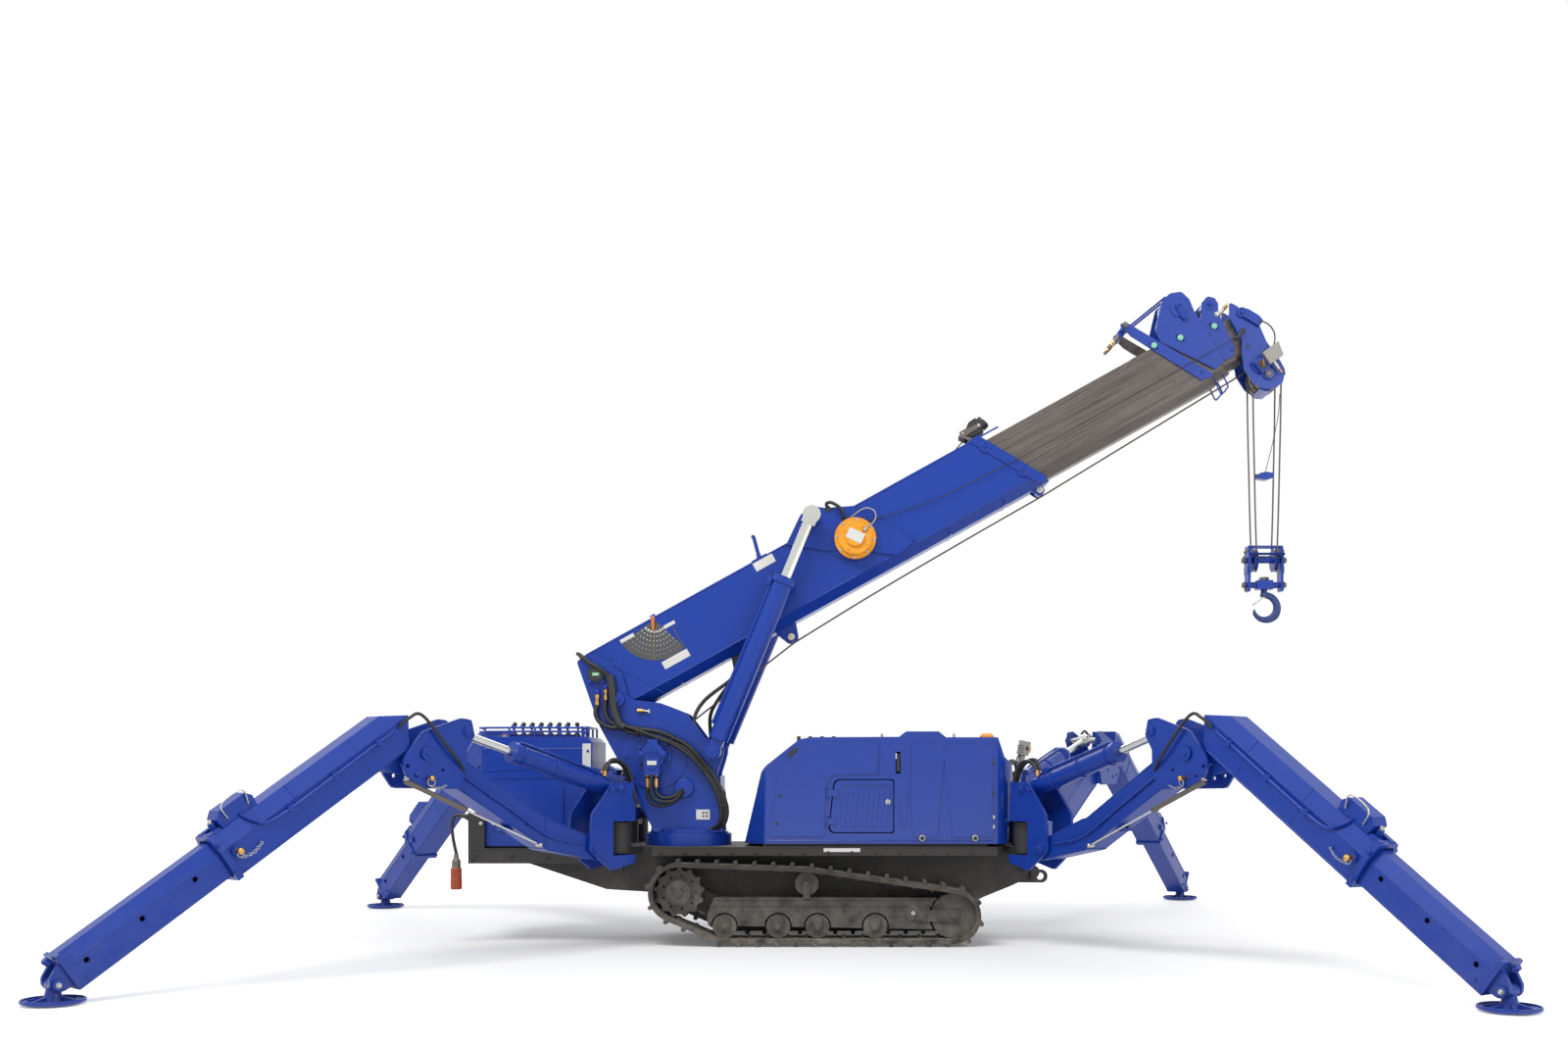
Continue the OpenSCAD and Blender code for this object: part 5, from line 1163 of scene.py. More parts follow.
class MINICRANE_OT_mast_fittings(bpy.types.Operator):
    """Adds the hoses, valves, sensor and small plate on the mast"""

    bl_idname = "minicrane.mast_fittings"
    bl_label = "Mast Fittings and Hoses"

    def execute(self, context):
        blue, black, steel, gold = paint(), black_moulding(), zinc(), brass()
        p = Piece("mast_fittings")
        # Level sensor on the ear.
        c = Vector((-921, -139, 1256))
        p.disc(c, (0, -1, 0), 38, 20, black, 32)
        p.disc(c + Vector((0, -20, 0)), (0, -1, 0), 30, 4, black_moulding(), 32)
        p.slab([(c.x - 26, c.z + 20), (c.x + 26, c.z + 20), (c.x + 20, c.z + 32), (c.x - 20, c.z + 32)], -160, -139, black)
        p.slab([(c.x - 16, c.z - 7), (c.x + 16, c.z - 7), (c.x + 16, c.z + 7), (c.x - 16, c.z + 7)], -164.5, -162, green_cap())
        p.slab([(c.x - 3, c.z - 5), (c.x + 3, c.z - 5), (c.x + 3, c.z + 5), (c.x - 3, c.z + 5)], -165.5, -164, white_plate())
        for dx, dz in ((-30, -34), (30, -34)):
            p.disc((c.x + dx, -139, c.z + dz), (0, -1, 0), 10, 14, blue, 16)
        # Knobs above the two pressure lines.
        for x, z in ((-914, 1172), (-874, 1196)):
            p.disc((x, -139, z), (0, -1, 0), 12, 30, blue, 18)
            p.turned((x, -156, z - 8), (x, -156, z - 64), [(0, 9), (8, 11), (22, 11), (24, 8), (34, 8), (36, 10.5), (56, 10)], gold, 14)
            p.bolt((x, -169, z), (0, -1, 0), blue, 8)
        # Motor: ports, flange bolts and brass ends.
        y = -216
        for x in (-673, -633):
            p.turned((x, -196, 802), (x, -196, 726), [(0, 8), (10, 11), (24, 11), (26, 8), (34, 8), (36, 11), (70, 10.5), (76, 9)], gold, 14)
        for x in (-700, -600):
            p.disc((x, -217, 880), (0, -1, 0), 13, 10, blue, 18)
            p.bolt((x, -227, 880), (0, -1, 0), blue, 8)
        for x in (-664, -636):
            p.bolt((x, y - 2, 893), (0, -1, 0), blue, 7)
        p.box((-672, -226, 830), (-628, -222, 850), white_plate())
        p.slab([(-668, 812), (-632, 812), (-624, 840), (-676, 840)], -222, -214, blue)
        for k in range(6):
            q = math.radians(60 * k + 30)
            p.bolt((-650 + 71 * math.cos(q), -165, 874 + 71 * math.sin(q)), (0, -1, 0), blue, 7)
        # Drain tap at the foot of the boom.
        p.rod((-729, -145, 1086), (-700, -145, 1086), 10, gold, 14)
        p.rod((-704, -145, 1086), (-672, -145, 1082), 5, steel, 10)
        p.box((-676, -149, 1074), (-668, -141, 1092), steel)
        p.box((-452, -139.2, 574), (-388, -137, 621), white_plate())
        for x, z in ((-447, 579), (-393, 579), (-447, 616), (-393, 616)):
            p.rod((x, -138, z), (x, -140.5, z), 1.8, steel, 8)
        for x, z in ((-418, 606), (-402, 606), (-418, 590), (-402, 590)):
            p.box((x - 5, -139.6, z - 5), (x + 5, -139, z + 5), chart_grey())
        # Seams of the side plates and the lower flange.
        for s in (-1, 1):
            p.tube([(-655, s * 138, 525), (-335, s * 138, 525)], 3, blue, 6, 1)
            p.hoop((-650, s * 138, 874), (0, 1, 0), 156, 2.4, blue)
            p.disc((-820, s * 159, 1138), (0, s, 0), 34, 6, blue, 28)
            p.bolt((-820, s * 165, 1138), (0, s, 0), blue, 14)
            p.disc((-367, s * 238, 894), (0, s, 0), 30, 6, blue, 24)
            p.bolt((-367, s * 244, 894), (0, s, 0), blue, 10)
        for k in range(16):
            q = math.radians(22.5 * k + 11)
            p.bolt((-500 + 172 * math.cos(q), 172 * math.sin(q), 528.5), (0, 0, 1), blue, 8)
        p.ride("mast", 0.6)
        # Black cup inside the round port: painted shade for the dark inside of the opening that the hoses enter. The
        # blue flared ring round it is the port's rim.
        deep = Piece("hose_port")
        deep.turned((-508, -157, 722), (-508, -100, 722), [(0, 37.8), (30, 37.8), (44, 34), (50, 1)], black, 28)
        deep.turned((-508, -157, 722), (-508, -150, 722), [(-3, 40), (-1, 44), (3, 46)], blue, 32)
        deep.ride("mast")
        self.hoses()
        return {"FINISHED"}

    def hoses(self):
        port = (-508, -130, 722)
        hose("motor_hose_1", [(-673, -196, 796), (-673, -196, 728), (-672, -196, 690), (-655, -200, 655), (-618, -202, 642), (-568, -196, 648), (-530, -176, 678), (-512, -150, 706),
                              (-506, -128, 716)], body="mast", r=9)
        hose("motor_hose_2", [(-633, -196, 796), (-633, -196, 728), (-632, -196, 704), (-616, -200, 684), (-584, -200, 676), (-548, -190, 686), (-524, -168, 704), (-512, -148, 720),
                              (-508, -126, 730)], body="mast", r=9)
        hose("motor_hose_3", [(-652, -200, 812), (-655, -214, 770), (-656, -218, 716), (-640, -220, 676), (-600, -220, 660), (-552, -208, 664), (-520, -178, 694),
                              (-500, -140, 712), port], body="mast", r=7)
        lines = [[(-914, -156, 1112), (-922, -158, 1070), (-900, -160, 1030), (-850, -164, 1006), (-780, -166, 994), (-700, -170, 984)],
                 [(-874, -156, 1136), (-878, -158, 1096), (-862, -162, 1044), (-812, -166, 1012), (-760, -170, 998), (-690, -174, 988)]]
        tail = [(-620, -172, 972), (-550, -172, 944), (-490, -172, 910), (-430, -170, 850), (-372, -168, 770), (-330, -166, 690), (-312, -160, 610),
                (-330, -146, 550), (-372, -132, 534)]
        for k, line in enumerate(lines):
            shift = Vector((0, 0, 13 - 26 * k))
            over = [Vector(p) + (shift if i > 3 else Vector()) for i, p in enumerate(line)]
            down = [Vector(p) + shift * (1 - i / 9) + Vector((10 - 20 * k, 0, 0)) * (i / 9) for i, p in enumerate(tail)]
            hose(f"mast_hose_{k + 1}", over + down, body="mast", r=10.5)
        hose("mast_hose_3", [(-975, -112, 1330), (-1010, -122, 1352), (-995, -150, 1346), (-952, -160, 1312), (-905, -168, 1284), (-866, -164, 1250), (-848, -162, 1180),
                             (-838, -164, 1090), (-806, -176, 1026), (-740, -188, 1000), (-640, -190, 962), (-560, -190, 930), (-480, -188, 876),
                             (-410, -186, 800), (-352, -182, 700), (-330, -176, 610), (-346, -156, 548), (-384, -128, 530)], body="mast", r=9)
        hose("sensor_wire", [(-965, -112, 1318), (-1000, -122, 1336), (-985, -146, 1326), (-950, -160, 1298), (-934, -162, 1284)], body="mast", r=4,
             mat=wire_sheath(), stiffness="medium")
        p = Piece("hose_sleeve")
        line = smooth_path([(-852, -166, 1250), (-842, -166, 1180), (-833, -168, 1090), (-806, -174, 1024), (-780, -178, 1006)], 10)
        rings = rings_along(line, 19, 14)
        rings = [[c + (v - c) * (1 + 0.07 * math.sin(9.1 * i + 2.3 * k)) for k, v in enumerate(ring)] for i, (c, ring) in enumerate(zip(line, rings))]
        p.loft(rings, black_moulding())
        for at in (((-720, -172, 987), (-1, 0, 0.1)), ((-560, -176, 948), (-0.9, 0, 0.4)), ((-400, -174, 812), (-0.6, 0, 0.8)), ((-322, -168, 640), (0, 0, 1))):
            p.hoop(at[0], at[1], 25, 3, black_moulding())
        p.ride("mast")
        lines = [[(-250, -18, 1346), (-256, -18, 1290), (-300, -24, 1236), (-420, -40, 1140), (-468, -70, 1050), (-452, -100, 960), (-440, -112, 900)],
                 [(-266, 18, 1338), (-280, 18, 1260), (-352, 24, 1160), (-398, 40, 1080), (-404, 70, 1000), (-400, 100, 930), (-398, 112, 880)]]
        for k, line in enumerate(lines):
            hose(f"boom_hose_{k + 1}", line, bend=("mast", "boom", line[-1], line[0]), r=9)

# Cowl, control box and front lamps


class MINICRANE_OT_cowl_fittings(bpy.types.Operator):
    """Adds the cowl's pressed forms, hatch ribs, knobs, cap and plates"""

    bl_idname = "minicrane.cowl_fittings"
    bl_label = "Cowl Fittings"

    def execute(self, context):
        blue, black, steel = gloss_paint(), black_moulding(), zinc()
        p = Piece("cowl_forms")
        left = [(-96, 500), (-60, 800), (24, 878), (122, 930), (386, 936), (396, 900), (396, 788), (190, 784), (158, 740), (150, 500)]
        right = [(556, 930), (690, 930), (705, 881), (722, 930), (880, 924), (930, 880), (930, 500), (744, 496), (705, 860), (672, 496), (562, 496), (548, 720)]
        middle = [(508, 700), (536, 700), (530, 560), (508, 540)]
        for s in (-1, 1):
            y = s * 280
            for outline in (left, right, middle):
                p.slab(outline, min(y - s * 2, y + s * 6), max(y - s * 2, y + s * 6), blue)
            p.tube([(-116, y, 481), (930, y, 481)], 3, blue, 6, 1)
            p.tube([(410, y, 935), (404, y, 790), (398, y, 770)], 3, blue, 6, 3)
            for z in (545, 590):
                p.rod((930, y, z), (930, y + s * 3, z), 10, steel, 16)
        p.ride("chassis", 3.5)
        p = Piece("cowl_fittings")
        for x in (604, 848):
            p.disc((x, -285, 493), (0, -1, 0), 15, 10, steel, 24, 2)
            p.disc((x, -294, 493), (0, -1, 0), 10, 5, black, 20, 1)
        for x in (30, 84, 140, 194):
            p.rod((x, -120, 935 if x < 60 else 956), (x, -120, 966), 9, black, 16)
        for x in (421, 760):
            p.rod((x, -150, 957), (x, -150, 978), 6, steel, 14)
            p.disc((x, -150, 957), (0, 0, 1), 16, 4, black, 20)
        p.turned((915, -130, 955), (915, -130, 976), [(0, 34), (3, 35), (14, 33), (19, 27), (20, 4)], reel_yellow(), 28)
        p.box((915 - 24, -133, 974), (915 + 24, -127, 979), reel_yellow())
        # Black sheets in the slanted grille slot and in the upright slot of the cowl: painted shade for the dark inside
        # of the openings.
        p.slab([(-22, 872), (-6, 868), (30, 905), (24, 912), (10, 908)], -290, -285, black)
        p.box((486, -281, 800), (500, -270, 880), black)
        for x, z in ((-66, 560), (-52, 690), (930, 700), (930, 840)):
            p.disc((x, -282, z), (0, -1, 0), 8, 5, black, 16)
        p.box((150, -305, 430), (318, -302, 447), white_plate())
        p.ride("chassis", 0.5)
        p = Piece("hatch_lock")
        p.disc((446, -289, 660), (0, -1, 0), 12, 3, steel, 20)
        p.box((444, -293.4, 653), (448, -291.6, 667), black)
        p.slab([(232, 741), (458, 741), (458, 737), (232, 737)], -284, -279, blue)
        p.ride("hatch", 0.5)
        return {"FINISHED"}


class MINICRANE_OT_front_lamps(bpy.types.Operator):
    """Adds the lamp on its stalk and the barred amber lamp at the front"""

    bl_idname = "minicrane.front_lamps"
    bl_label = "Front Lamps"

    def execute(self, context):
        black, steel = black_moulding(), cast_steel()
        p = Piece("front_lamps")
        # Bars over the amber lamp.
        for k in range(8):
            z = 578 + 28 * k
            p.box((1062, 46, z - 3), (1118, 142, z + 3), black)
        for x in (1064, 1116):
            for y in (46, 142):
                p.rod((x, y, 452), (x, y, 800), 4, black, 10)
        # Lamp head on the stalk.
        at = Vector((1106, -60, 908))
        p.rod(at + Vector((-2, 0, 0)), at + Vector((10, 0, 2)), 26, black, 28)
        p.turned(at + Vector((9, 0, 2)), at + Vector((26, 0, 5)), [(0, 24), (4, 24), (10, 20), (15, 12), (17, 2)], amber_lens(), 28)
        for k in range(5):
            p.box((1070, -84, 890 + 8 * k), (1094, -36, 893 + 8 * k), black)
        p.rod((1068, -60, 776), (1068, -60, 794), 20, steel, 20)
        for k in range(4):
            q = math.radians(90 * k + 45)
            p.bolt((1068 + 15 * math.cos(q), -60 + 15 * math.sin(q), 794), (0, 0, 1), steel, 5)
        p.rod((1068, -60, 452), (1068, -60, 462), 30, steel, 24)
        p.ride("chassis", 0.4)
        hose("lamp_wire", [(1074, -84, 884), (1060, -96, 860), (1052, -92, 800), (1052, -84, 700), (1056, -80, 600), (1056, -78, 500), (1050, -80, 456)],
             body="chassis", r=3, mat=wire_sheath(), stiffness="medium")
        return {"FINISHED"}


class MINICRANE_OT_control_box_fittings(bpy.types.Operator):
    """Adds the control box's panel forms, lever guards, knobs and plates"""

    bl_idname = "minicrane.control_box_fittings"
    bl_label = "Control Box Fittings"

    def execute(self, context):
        blue, black, steel = paint(), black_moulding(), zinc()
        p = Piece("control_box_fittings")
        for s in (-1, 1):
            y = s * 205
            for outline in ([(-1432, 800), (-1150, 812), (-1080, 880), (-1432, 880)], [(-1020, 520), (-950, 500), (-950, 780), (-1020, 770)],
                            [(-1370, 520), (-1100, 520), (-1064, 560), (-1064, 730), (-1110, 752), (-1370, 752)]):
                p.slab(outline, min(y - s * 8, y + s * 4), max(y - s * 8, y + s * 4), blue)
            for x, z in ((-1425, 480), (-1180, 480), (-950, 480), (-1425, 895), (-1180, 895), (-950, 895)):
                p.bolt((x, y, z), (0, s, 0), blue, 7)
            p.tube([(-1440, y, 906), (-935, y, 906)], 3, blue, 6, 1)
        # Pale panel with blank plates behind the levers.
        p.box((-975, -208.5, 786), (-936, -205, 930), white_plate())
        p.box((-1446, -150, 500), (-1445, 150, 640), black)
        for k in range(7):
            p.box((-1447.5, -140, 512 + 18 * k), (-1445, 140, 518 + 18 * k), black)
        # Two-bar guard above the levers.
        for z in (986, 1004):
            p.tube([(-1432, -186, 962), (-1432, -186, z - 8), (-1424, -186, z), (-980, -186, z), (-972, -186, z - 8), (-972, -186, 962)], 5, blue, 10, 3)
        for x in (-1320, -1200, -1080):
            p.rod((x, -186, 960), (x, -186, 1004), 4.5, blue, 10)
        for i in range(8):
            x = -1310 + 42 * i
            p.ball((x, -110, 1022), 11, black)
            p.turned((x, -110, 962), (x, -110, 990), [(0, 17), (4, 17), (9, 14), (14, 15), (19, 10), (26, 6)], black, 18)
        for x, y in ((-1400, 90), (-1360, 90), (-1320, 90)):
            p.rod((x, y, 960), (x, y, 972), 13, steel, 20)
            p.rod((x, y, 972), (x, y, 980), 9, orange_mark(), 16)
        p.rod((-1270, 110, 960), (-1270, 110, 974), 42, black, 32)
        p.rod((-1270, 110, 974), (-1270, 110, 976), 36, white_plate(), 32)
        p.rod((-1170, 110, 960), (-1170, 110, 974), 42, black, 32)
        p.rod((-1170, 110, 974), (-1170, 110, 976), 36, white_plate(), 32)
        p.rod((-1270, 110, 976), (-1246, 128, 977), 1.5, black, 6)
        p.rod((-1170, 110, 976), (-1186, 134, 977), 1.5, black, 6)
        p.ride("chassis", 0.7)
        return {"FINISHED"}


# Chassis and tracks


class MINICRANE_OT_chassis_fittings(bpy.types.Operator):
    """Adds bolts, covers and edges on the chassis and the tracks"""

    bl_idname = "minicrane.chassis_fittings"
    bl_label = "Chassis and Track Fittings"

    def execute(self, context):
        dark, iron, steel = black_frame(), wheel_iron(), zinc()
        p = Piece("chassis_fittings")
        for s in (-1, 1):
            for x in range(-600, 940, 110):
                p.bolt((x, s * 300, 428), (0, s, 0), dark, 8)
            p.tube([(-640, s * 300, 451), (950, s * 300, 451)], 2.6, dark, 6, 1)
            p.tube([(-1488, s * 240, 441), (-930, s * 240, 441)], 2.6, dark, 6, 1)
            for x in (-1470, -1300, -1130, -960):
                p.bolt((x, s * 240, 408), (0, s, 0), dark, 9)
            # Track side: sprocket cover, frame ridge, axle ends and grease point.
            for k in range(6):
                q = math.radians(60 * k)
                p.bolt((-513 + 48 * math.cos(q), s * (285 + 52), 246 + 48 * math.sin(q)), (0, s, 0), iron, 5.5)
            p.disc((-513, s * (285 + 70), 246), (0, s, 0), 20, 5, iron, 24)
            for x in (-304, -58, 122, 387, 745):
                z = 92 if x < 700 else 140
                p.disc((x, s * (285 + 60), z), (0, s, 0), 15, 5, iron, 20)
                for d in (-8, 8):
                    p.bolt((x + d, s * (285 + 64.5), z), (0, s, 0), iron, 3.6, washer=False)
            p.tube([(-372, s * (285 + 53), 186), (696, s * (285 + 53), 186)], 3.2, dark, 6, 1)
            p.tube([(-340, s * (285 + 53), 212), (690, s * (285 + 53), 212)], 2.2, dark, 6, 1)
            p.disc((560, s * (285 + 52), 152), (0, s, 0), 34, 6, dark, 28)
            p.bolt((560, s * (285 + 58), 152), (0, s, 0), steel, 8)
            for x in (-222, 30, 250, 470):
                p.bolt((x, s * (285 + 52), 168), (0, s, 0), dark, 7)
            # Inner plates close the track frames behind the rollers.
            p.slab([(-380, 92), (-384, 136), (-352, 216), (700, 216), (712, 150), (672, 84)], s * 229 - 3, s * 229 + 3, dark)
        for x in (-1440, -1380):
            p.rod((x, -242, 560), (x, -248, 560), 9, steel, 14)
        for y in (-150, -50, 50, 150):
            p.bolt((1226, y, 400), (1, 0, 0), dark, 9)
        p.ride("chassis", 0.4)
        return {"FINISHED"}


# Outriggers


class MINICRANE_OT_outriggers(bpy.types.Operator):
    """Dresses the four outriggers with pins, hoses, conduits, sensors, struts and chains"""

    bl_idname = "minicrane.outriggers"
    bl_label = "Outrigger Fittings"

    def execute(self, context):
        for name in LEGS:
            near = 1 if (POSTS[name][1] < 0) == (POSTS[name][0] < 0) else -1
            self.bracket(name, near)
            self.inner(name, near)
            self.outer(name, near)
            self.beam_and_foot(name, near)
        return {"FINISHED"}

    def bracket(self, name, side):
        blue, steel = paint(), zinc()
        p = Piece(f"{name}_bracket_fittings", LEGS[name]["leg"])
        for s in (-1, 1):
            p.disc((52, s * 87, 724), (0, s, 0), 19, 5, blue, 24)
            p.bolt((52, s * 92, 724), (0, s, 0), blue, 9)
            p.disc((175, s * 88, 455), (0, s, 0), 25, 5, blue, 24)
            p.bolt((175, s * 93, 455), (0, s, 0), blue, 11)
            p.slab([(80, 748), (120, 716), (110, 700), (70, 732)], min(s * 82, s * 88), max(s * 82, s * 88), blue)
            p.bolt((100, s * 88, 722), (0, s, 0), blue, 6)
            p.tube([(-28, s * 82, 750), (96, s * 82, 750), (212, s * 82, 610), (228, s * 82, 450), (102, s * 82, 354)], 2.4, blue, 6, 2, smooth=False)
        p.rod((0, 0, 600), (0, 0, 622), 30, blue, 24)
        p.bolt((0, 0, 622), (0, 0, 1), steel, 16)
        p.rod((-28, 0, 668), (-28, 0, 690), 12, steel, 16)
        p.ride(f"{name}_bracket", 0.6)

    def inner(self, name, side):
        blue, steel, gold = paint(), zinc(), brass()
        leg, lift = LEGS[name]["leg"], LEGS[name]["lift"]
        p = Piece(f"{name}_inner_arm_fittings", leg)
        for s in (-1, 1):
            p.disc((1062, s * 98, 872), (0, s, 0), 27, 5, blue, 28)
            p.bolt((1062, s * 103, 872), (0, s, 0), blue, 11)
            p.disc((866, s * 96, 968), (0, s, 0), 20, 5, blue, 24)
            p.bolt((866, s * 101, 968), (0, s, 0), blue, 8)
            p.tube([(200, s * 61, 500), (430, s * 61, 592), (455, s * 61, 597), (864, s * 61, 846)], 3, blue, 6, 1, smooth=False)
            p.tube([(250, s * 61, 424), (440, s * 61, 460), (884, s * 61, 724)], 3, blue, 6, 1, smooth=False)
            p.tube([(448, s * 61.5, 462), (456, s * 61.5, 598)], 2.6, blue, 6, 1)
            p.tube([(836, s * 90, 950), (850, s * 90, 1012), (900, s * 90, 1018), (1078, s * 90, 960), (1128, s * 90, 900)], 2.2, blue, 6, 1, smooth=False)
            p.tube([(1184, s * 90, 830), (1116, s * 90, 736), (902, s * 90, 730), (876, s * 90, 800)], 2.2, blue, 6, 1, smooth=False)
        # Gas strut: thick barrel, then its thin rod.
        y = side * 100
        a, b = Vector((1188, y, 770)), Vector((497, y * 0.86, 482))
        joint = mid(a, b, 0.45)
        p.rod(mid(a, b, 0.03), joint, 11, cast_steel(), 16)
        p.rod(joint, mid(a, b, 0.97), 4.5, chrome(), 12)
        p.rod((497, side * 60, 482), (497, side * 92, 482), 9, steel, 14)
        p.ball(b, 10, steel)
        p.rod((1160, side * 88, 768), (1160, side * 106, 768), 8, steel, 14)
        # Lock pin with its grip ring and chain.
        q = math.radians(-95)
        pin = Vector((1062 + 100 * math.cos(q), side * 92, 872 + 100 * math.sin(q)))
        p.rod(pin, pin + Vector((0, side * 22, 0)), 8, gold, 14)
        p.ball(pin + Vector((0, side * 26, 0)), 12, gold)
        p.hoop(pin + Vector((0, side * 20, -16)), (0.3, 0.95, 0.1), 15, 1.8, steel)
        for k in range(9):
            at = pin + Vector((-9 * k, side * 12, -30 - 10 * math.sin(math.pi * k / 8)))
            p.hoop(at, (0, 1, 0.4) if k % 2 else (0.2, 0.3, 1), 5.4, 1.2, steel, steps=10, sides=5)
        # Painted conduit along the arm.
        conduit = [(250, side * 68, 480), (440, side * 68, 520), (640, side * 68, 640), (840, side * 68, 762), (872, side * 70, 786)]
        p.tube(conduit, 6, blue, 10, 5)
        for k, (x, z) in enumerate(((330, 494), (540, 576), (740, 702))):
            p.box((x - 9, min(side * 60, side * 76), z - 9), (x + 9, max(side * 60, side * 76), z + 9), blue)
        p.box((600, -30, 546), (640, 30, 560), blue)
        p.ride(f"{name}_inner_arm", 0.6)
        p = Piece(f"{name}_lift_fittings", lift)
        p.tube([(60, side * 20, 40), (110, side * 16, 50), (300, side * 16, 51), (500, side * 16, 51), (535, side * 12, 48)], 5, blue, 10, 4)
        for x in (150, 330, 510):
            p.hoop((x, 0, 0), (1, 0, 0), 44, 3, blue)
        for y in (1, 23):
            p.turned((60, side * y, 38), (60, side * y, 66), [(0, 9), (6, 11), (16, 11), (18, 8), (28, 8)], gold, 12)
        p.box((86, -22, 40), (128, 22, 62), blue)
        p.ride(f"{name}_lift_barrel", 0.5)
        a = leg.inverted() @ (lift @ Vector((60, side * 12, 62)))
        line = [a, a + Vector((-34, 0, 44)), a + Vector((-96, side * 4, 40)), a + Vector((-140, side * 8, -20)), Vector((-66, side * 30, 660)),
                Vector((-52, side * 24, 600)), Vector((-38, side * 16, 560))]
        for k in (-1, 1):
            moved = [Vector(v) + Vector((0, k * 11, 6 * k * (i % 3 == 1))) for i, v in enumerate(line)]
            hose(f"{name}_lift_hose_{'a' if k < 0 else 'b'}", moved, leg, bend=(f"{name}_bracket", f"{name}_lift_barrel", moved[-1], moved[0]), r=9)

    def outer(self, name, side):
        blue, steel, gold, black = paint(), zinc(), brass(), black_moulding()
        arm = LEGS[name]["arm"]
        p = Piece(f"{name}_outer_arm_fittings", arm)
        for s in (-1, 1):
            y = s * 69
            p.tube([(20, y, 170), (886, y, 170)], 2.2, blue, 6, 1)
            p.tube([(60, y, 60), (886, y, 60)], 3, blue, 6, 1)
            for x in (240, 560):
                p.tube([(x, y, 58), (x, y, 168), (x, s * 46, 228)], 2.4, blue, 6, 1, smooth=False)
            for z in (80, 200):
                p.bolt((902, s * 77, z), (0, s, 0), blue, 8)
        conduit = [(70, side * 74, 150), (240, side * 78, 152), (500, side * 78, 150), (690, side * 78, 156), (740, side * 70, 196), (762, side * 50, 236)]
        p.tube(conduit, 7, blue, 10, 6)
        for x in (150, 380, 600):
            p.box((x - 10, min(side * 66, side * 88), 140), (x + 10, max(side * 66, side * 88), 162), blue)
        # Sensor cover with its wire loop and lead.
        p.slab([(684, 229), (840, 229), (846, 270), (820, 292), (700, 292), (680, 268)], -39, 39, blue)
        for x, z in ((700, 282), (826, 282)):
            for s in (-1, 1):
                p.bolt((x, s * 39, z - 34), (0, s, 0), blue, 5)
        p.tube([(712, side * 42, 250), (706, side * 58, 300), (730, side * 58, 318), (790, side * 58, 318), (814, side * 58, 300), (808, side * 42, 250)], 3.4, steel, 8, 4)
        p.rod((856, 0, 229), (856, 0, 262), 15, blue, 18)
        p.rod((856, 0, 262), (856, 0, 272), 10, steel, 14)
        # Lock pin, ball and clip at the mouth.
        for s in (-1, 1):
            p.disc((860, s * 77, 141), (0, s, 0), 19, 3, blue, 24)
        p.rod((860, side * 78, 141), (860, side * 106, 141), 9, gold, 14)
        p.ball((860, side * 110, 141), 14, gold)
        p.hoop((860, side * 92, 128), (0, 1, 0), 12, 1.8, steel)
        for k in range(10):
            p.hoop((858 - 10 * k, side * 84, 112 - 11 * math.sin(math.pi * k / 9)), (0, 1, 0.4) if k % 2 else (0.2, 0.3, 1), 5.4, 1.2, steel, steps=10, sides=5)
        p.bolt((768, side * 69, 112), (0, side, 0), blue, 7)
        for s in (-1, 1):
            p.disc((0, s * 41, 0), (0, s, 0), 30, 4, blue, 24)
        p.ride(f"{name}_outer_arm", 0.6)
        # Hose over the knuckle.
        a = Vector((40, side * 74, 150))
        here = LEGS[name]["leg"].inverted() @ (arm @ a)
        line = [here, here + Vector((-30, side * 26, 40)), here + Vector((-90, side * 34, 50)), Vector((960, side * 112, 880)), Vector((900, side * 96, 820)),
                Vector((874, side * 76, 788))]
        hose(f"{name}_knuckle_hose", line, LEGS[name]["leg"], bend=(f"{name}_inner_arm", f"{name}_outer_arm", line[-1], line[0]), r=6.5)

    def beam_and_foot(self, name, side):
        blue, steel = paint(), zinc()
        arm, span, reach = LEGS[name]["arm"], LEGS[name]["span"], LEGS[name]["reach"]
        p = Piece(f"{name}_beam_fittings", arm)
        for s in (-1, 1):
            p.tube([(span - 620, s * 54, 165), (span - 60, s * 54, 165)], 1.8, blue, 6, 1)
            p.tube([(span - 620, s * 54, 74), (span - 60, s * 54, 74)], 2.4, blue, 6, 1)
            for k in range(3):
                p.hoop((span - 120 - 230 * k, s * 54, 141), (0, 1, 0), 13, 1.6, blue)
            p.bolt((span - 92, s * 54, 96), (0, s, 0), blue, 7)
        p.slab([(span - 60, 214), (span - 44, 214), (span - 44, 70), (span - 60, 70)], -57, 57, blue)
        p.rod((span - 30, 0, 190), (span - 22, 0, 214), 14, blue, 18)
        p.ride(f"{name}_beam", 0.6)
        p = Piece(f"{name}_foot_fittings", LEGS[name]["leg"])
        for s in (-1, 1):
            p.disc((reach, s * 46, 70), (0, s, 0), 19, 5, blue, 20)
            p.bolt((reach, s * 51, 70), (0, s, 0), steel, 8)
        p.hoop((reach, 0, 19), (0, 0, 1), 101, 3, blue, steps=40)
        for k in range(6):
            q = math.radians(60 * k + 15)
            c = Vector((math.cos(q), math.sin(q), 0))
            t = Vector((-math.sin(q), math.cos(q), 0)) * 4
            foot = Vector((reach, 0, 0))
            p.loft([[foot + c * 26 + t + Vector((0, 0, 10)), foot + c * 26 - t + Vector((0, 0, 10)), foot + c * 26 - t + Vector((0, 0, 30)), foot + c * 26 + t + Vector((0, 0, 30))],
                    [foot + c * 86 + t + Vector((0, 0, 9)), foot + c * 86 - t + Vector((0, 0, 9)), foot + c * 86 - t + Vector((0, 0, 16)), foot + c * 86 + t + Vector((0, 0, 16))]], blue)
        p.ride(f"{name}_foot", 0.6)


# Stage


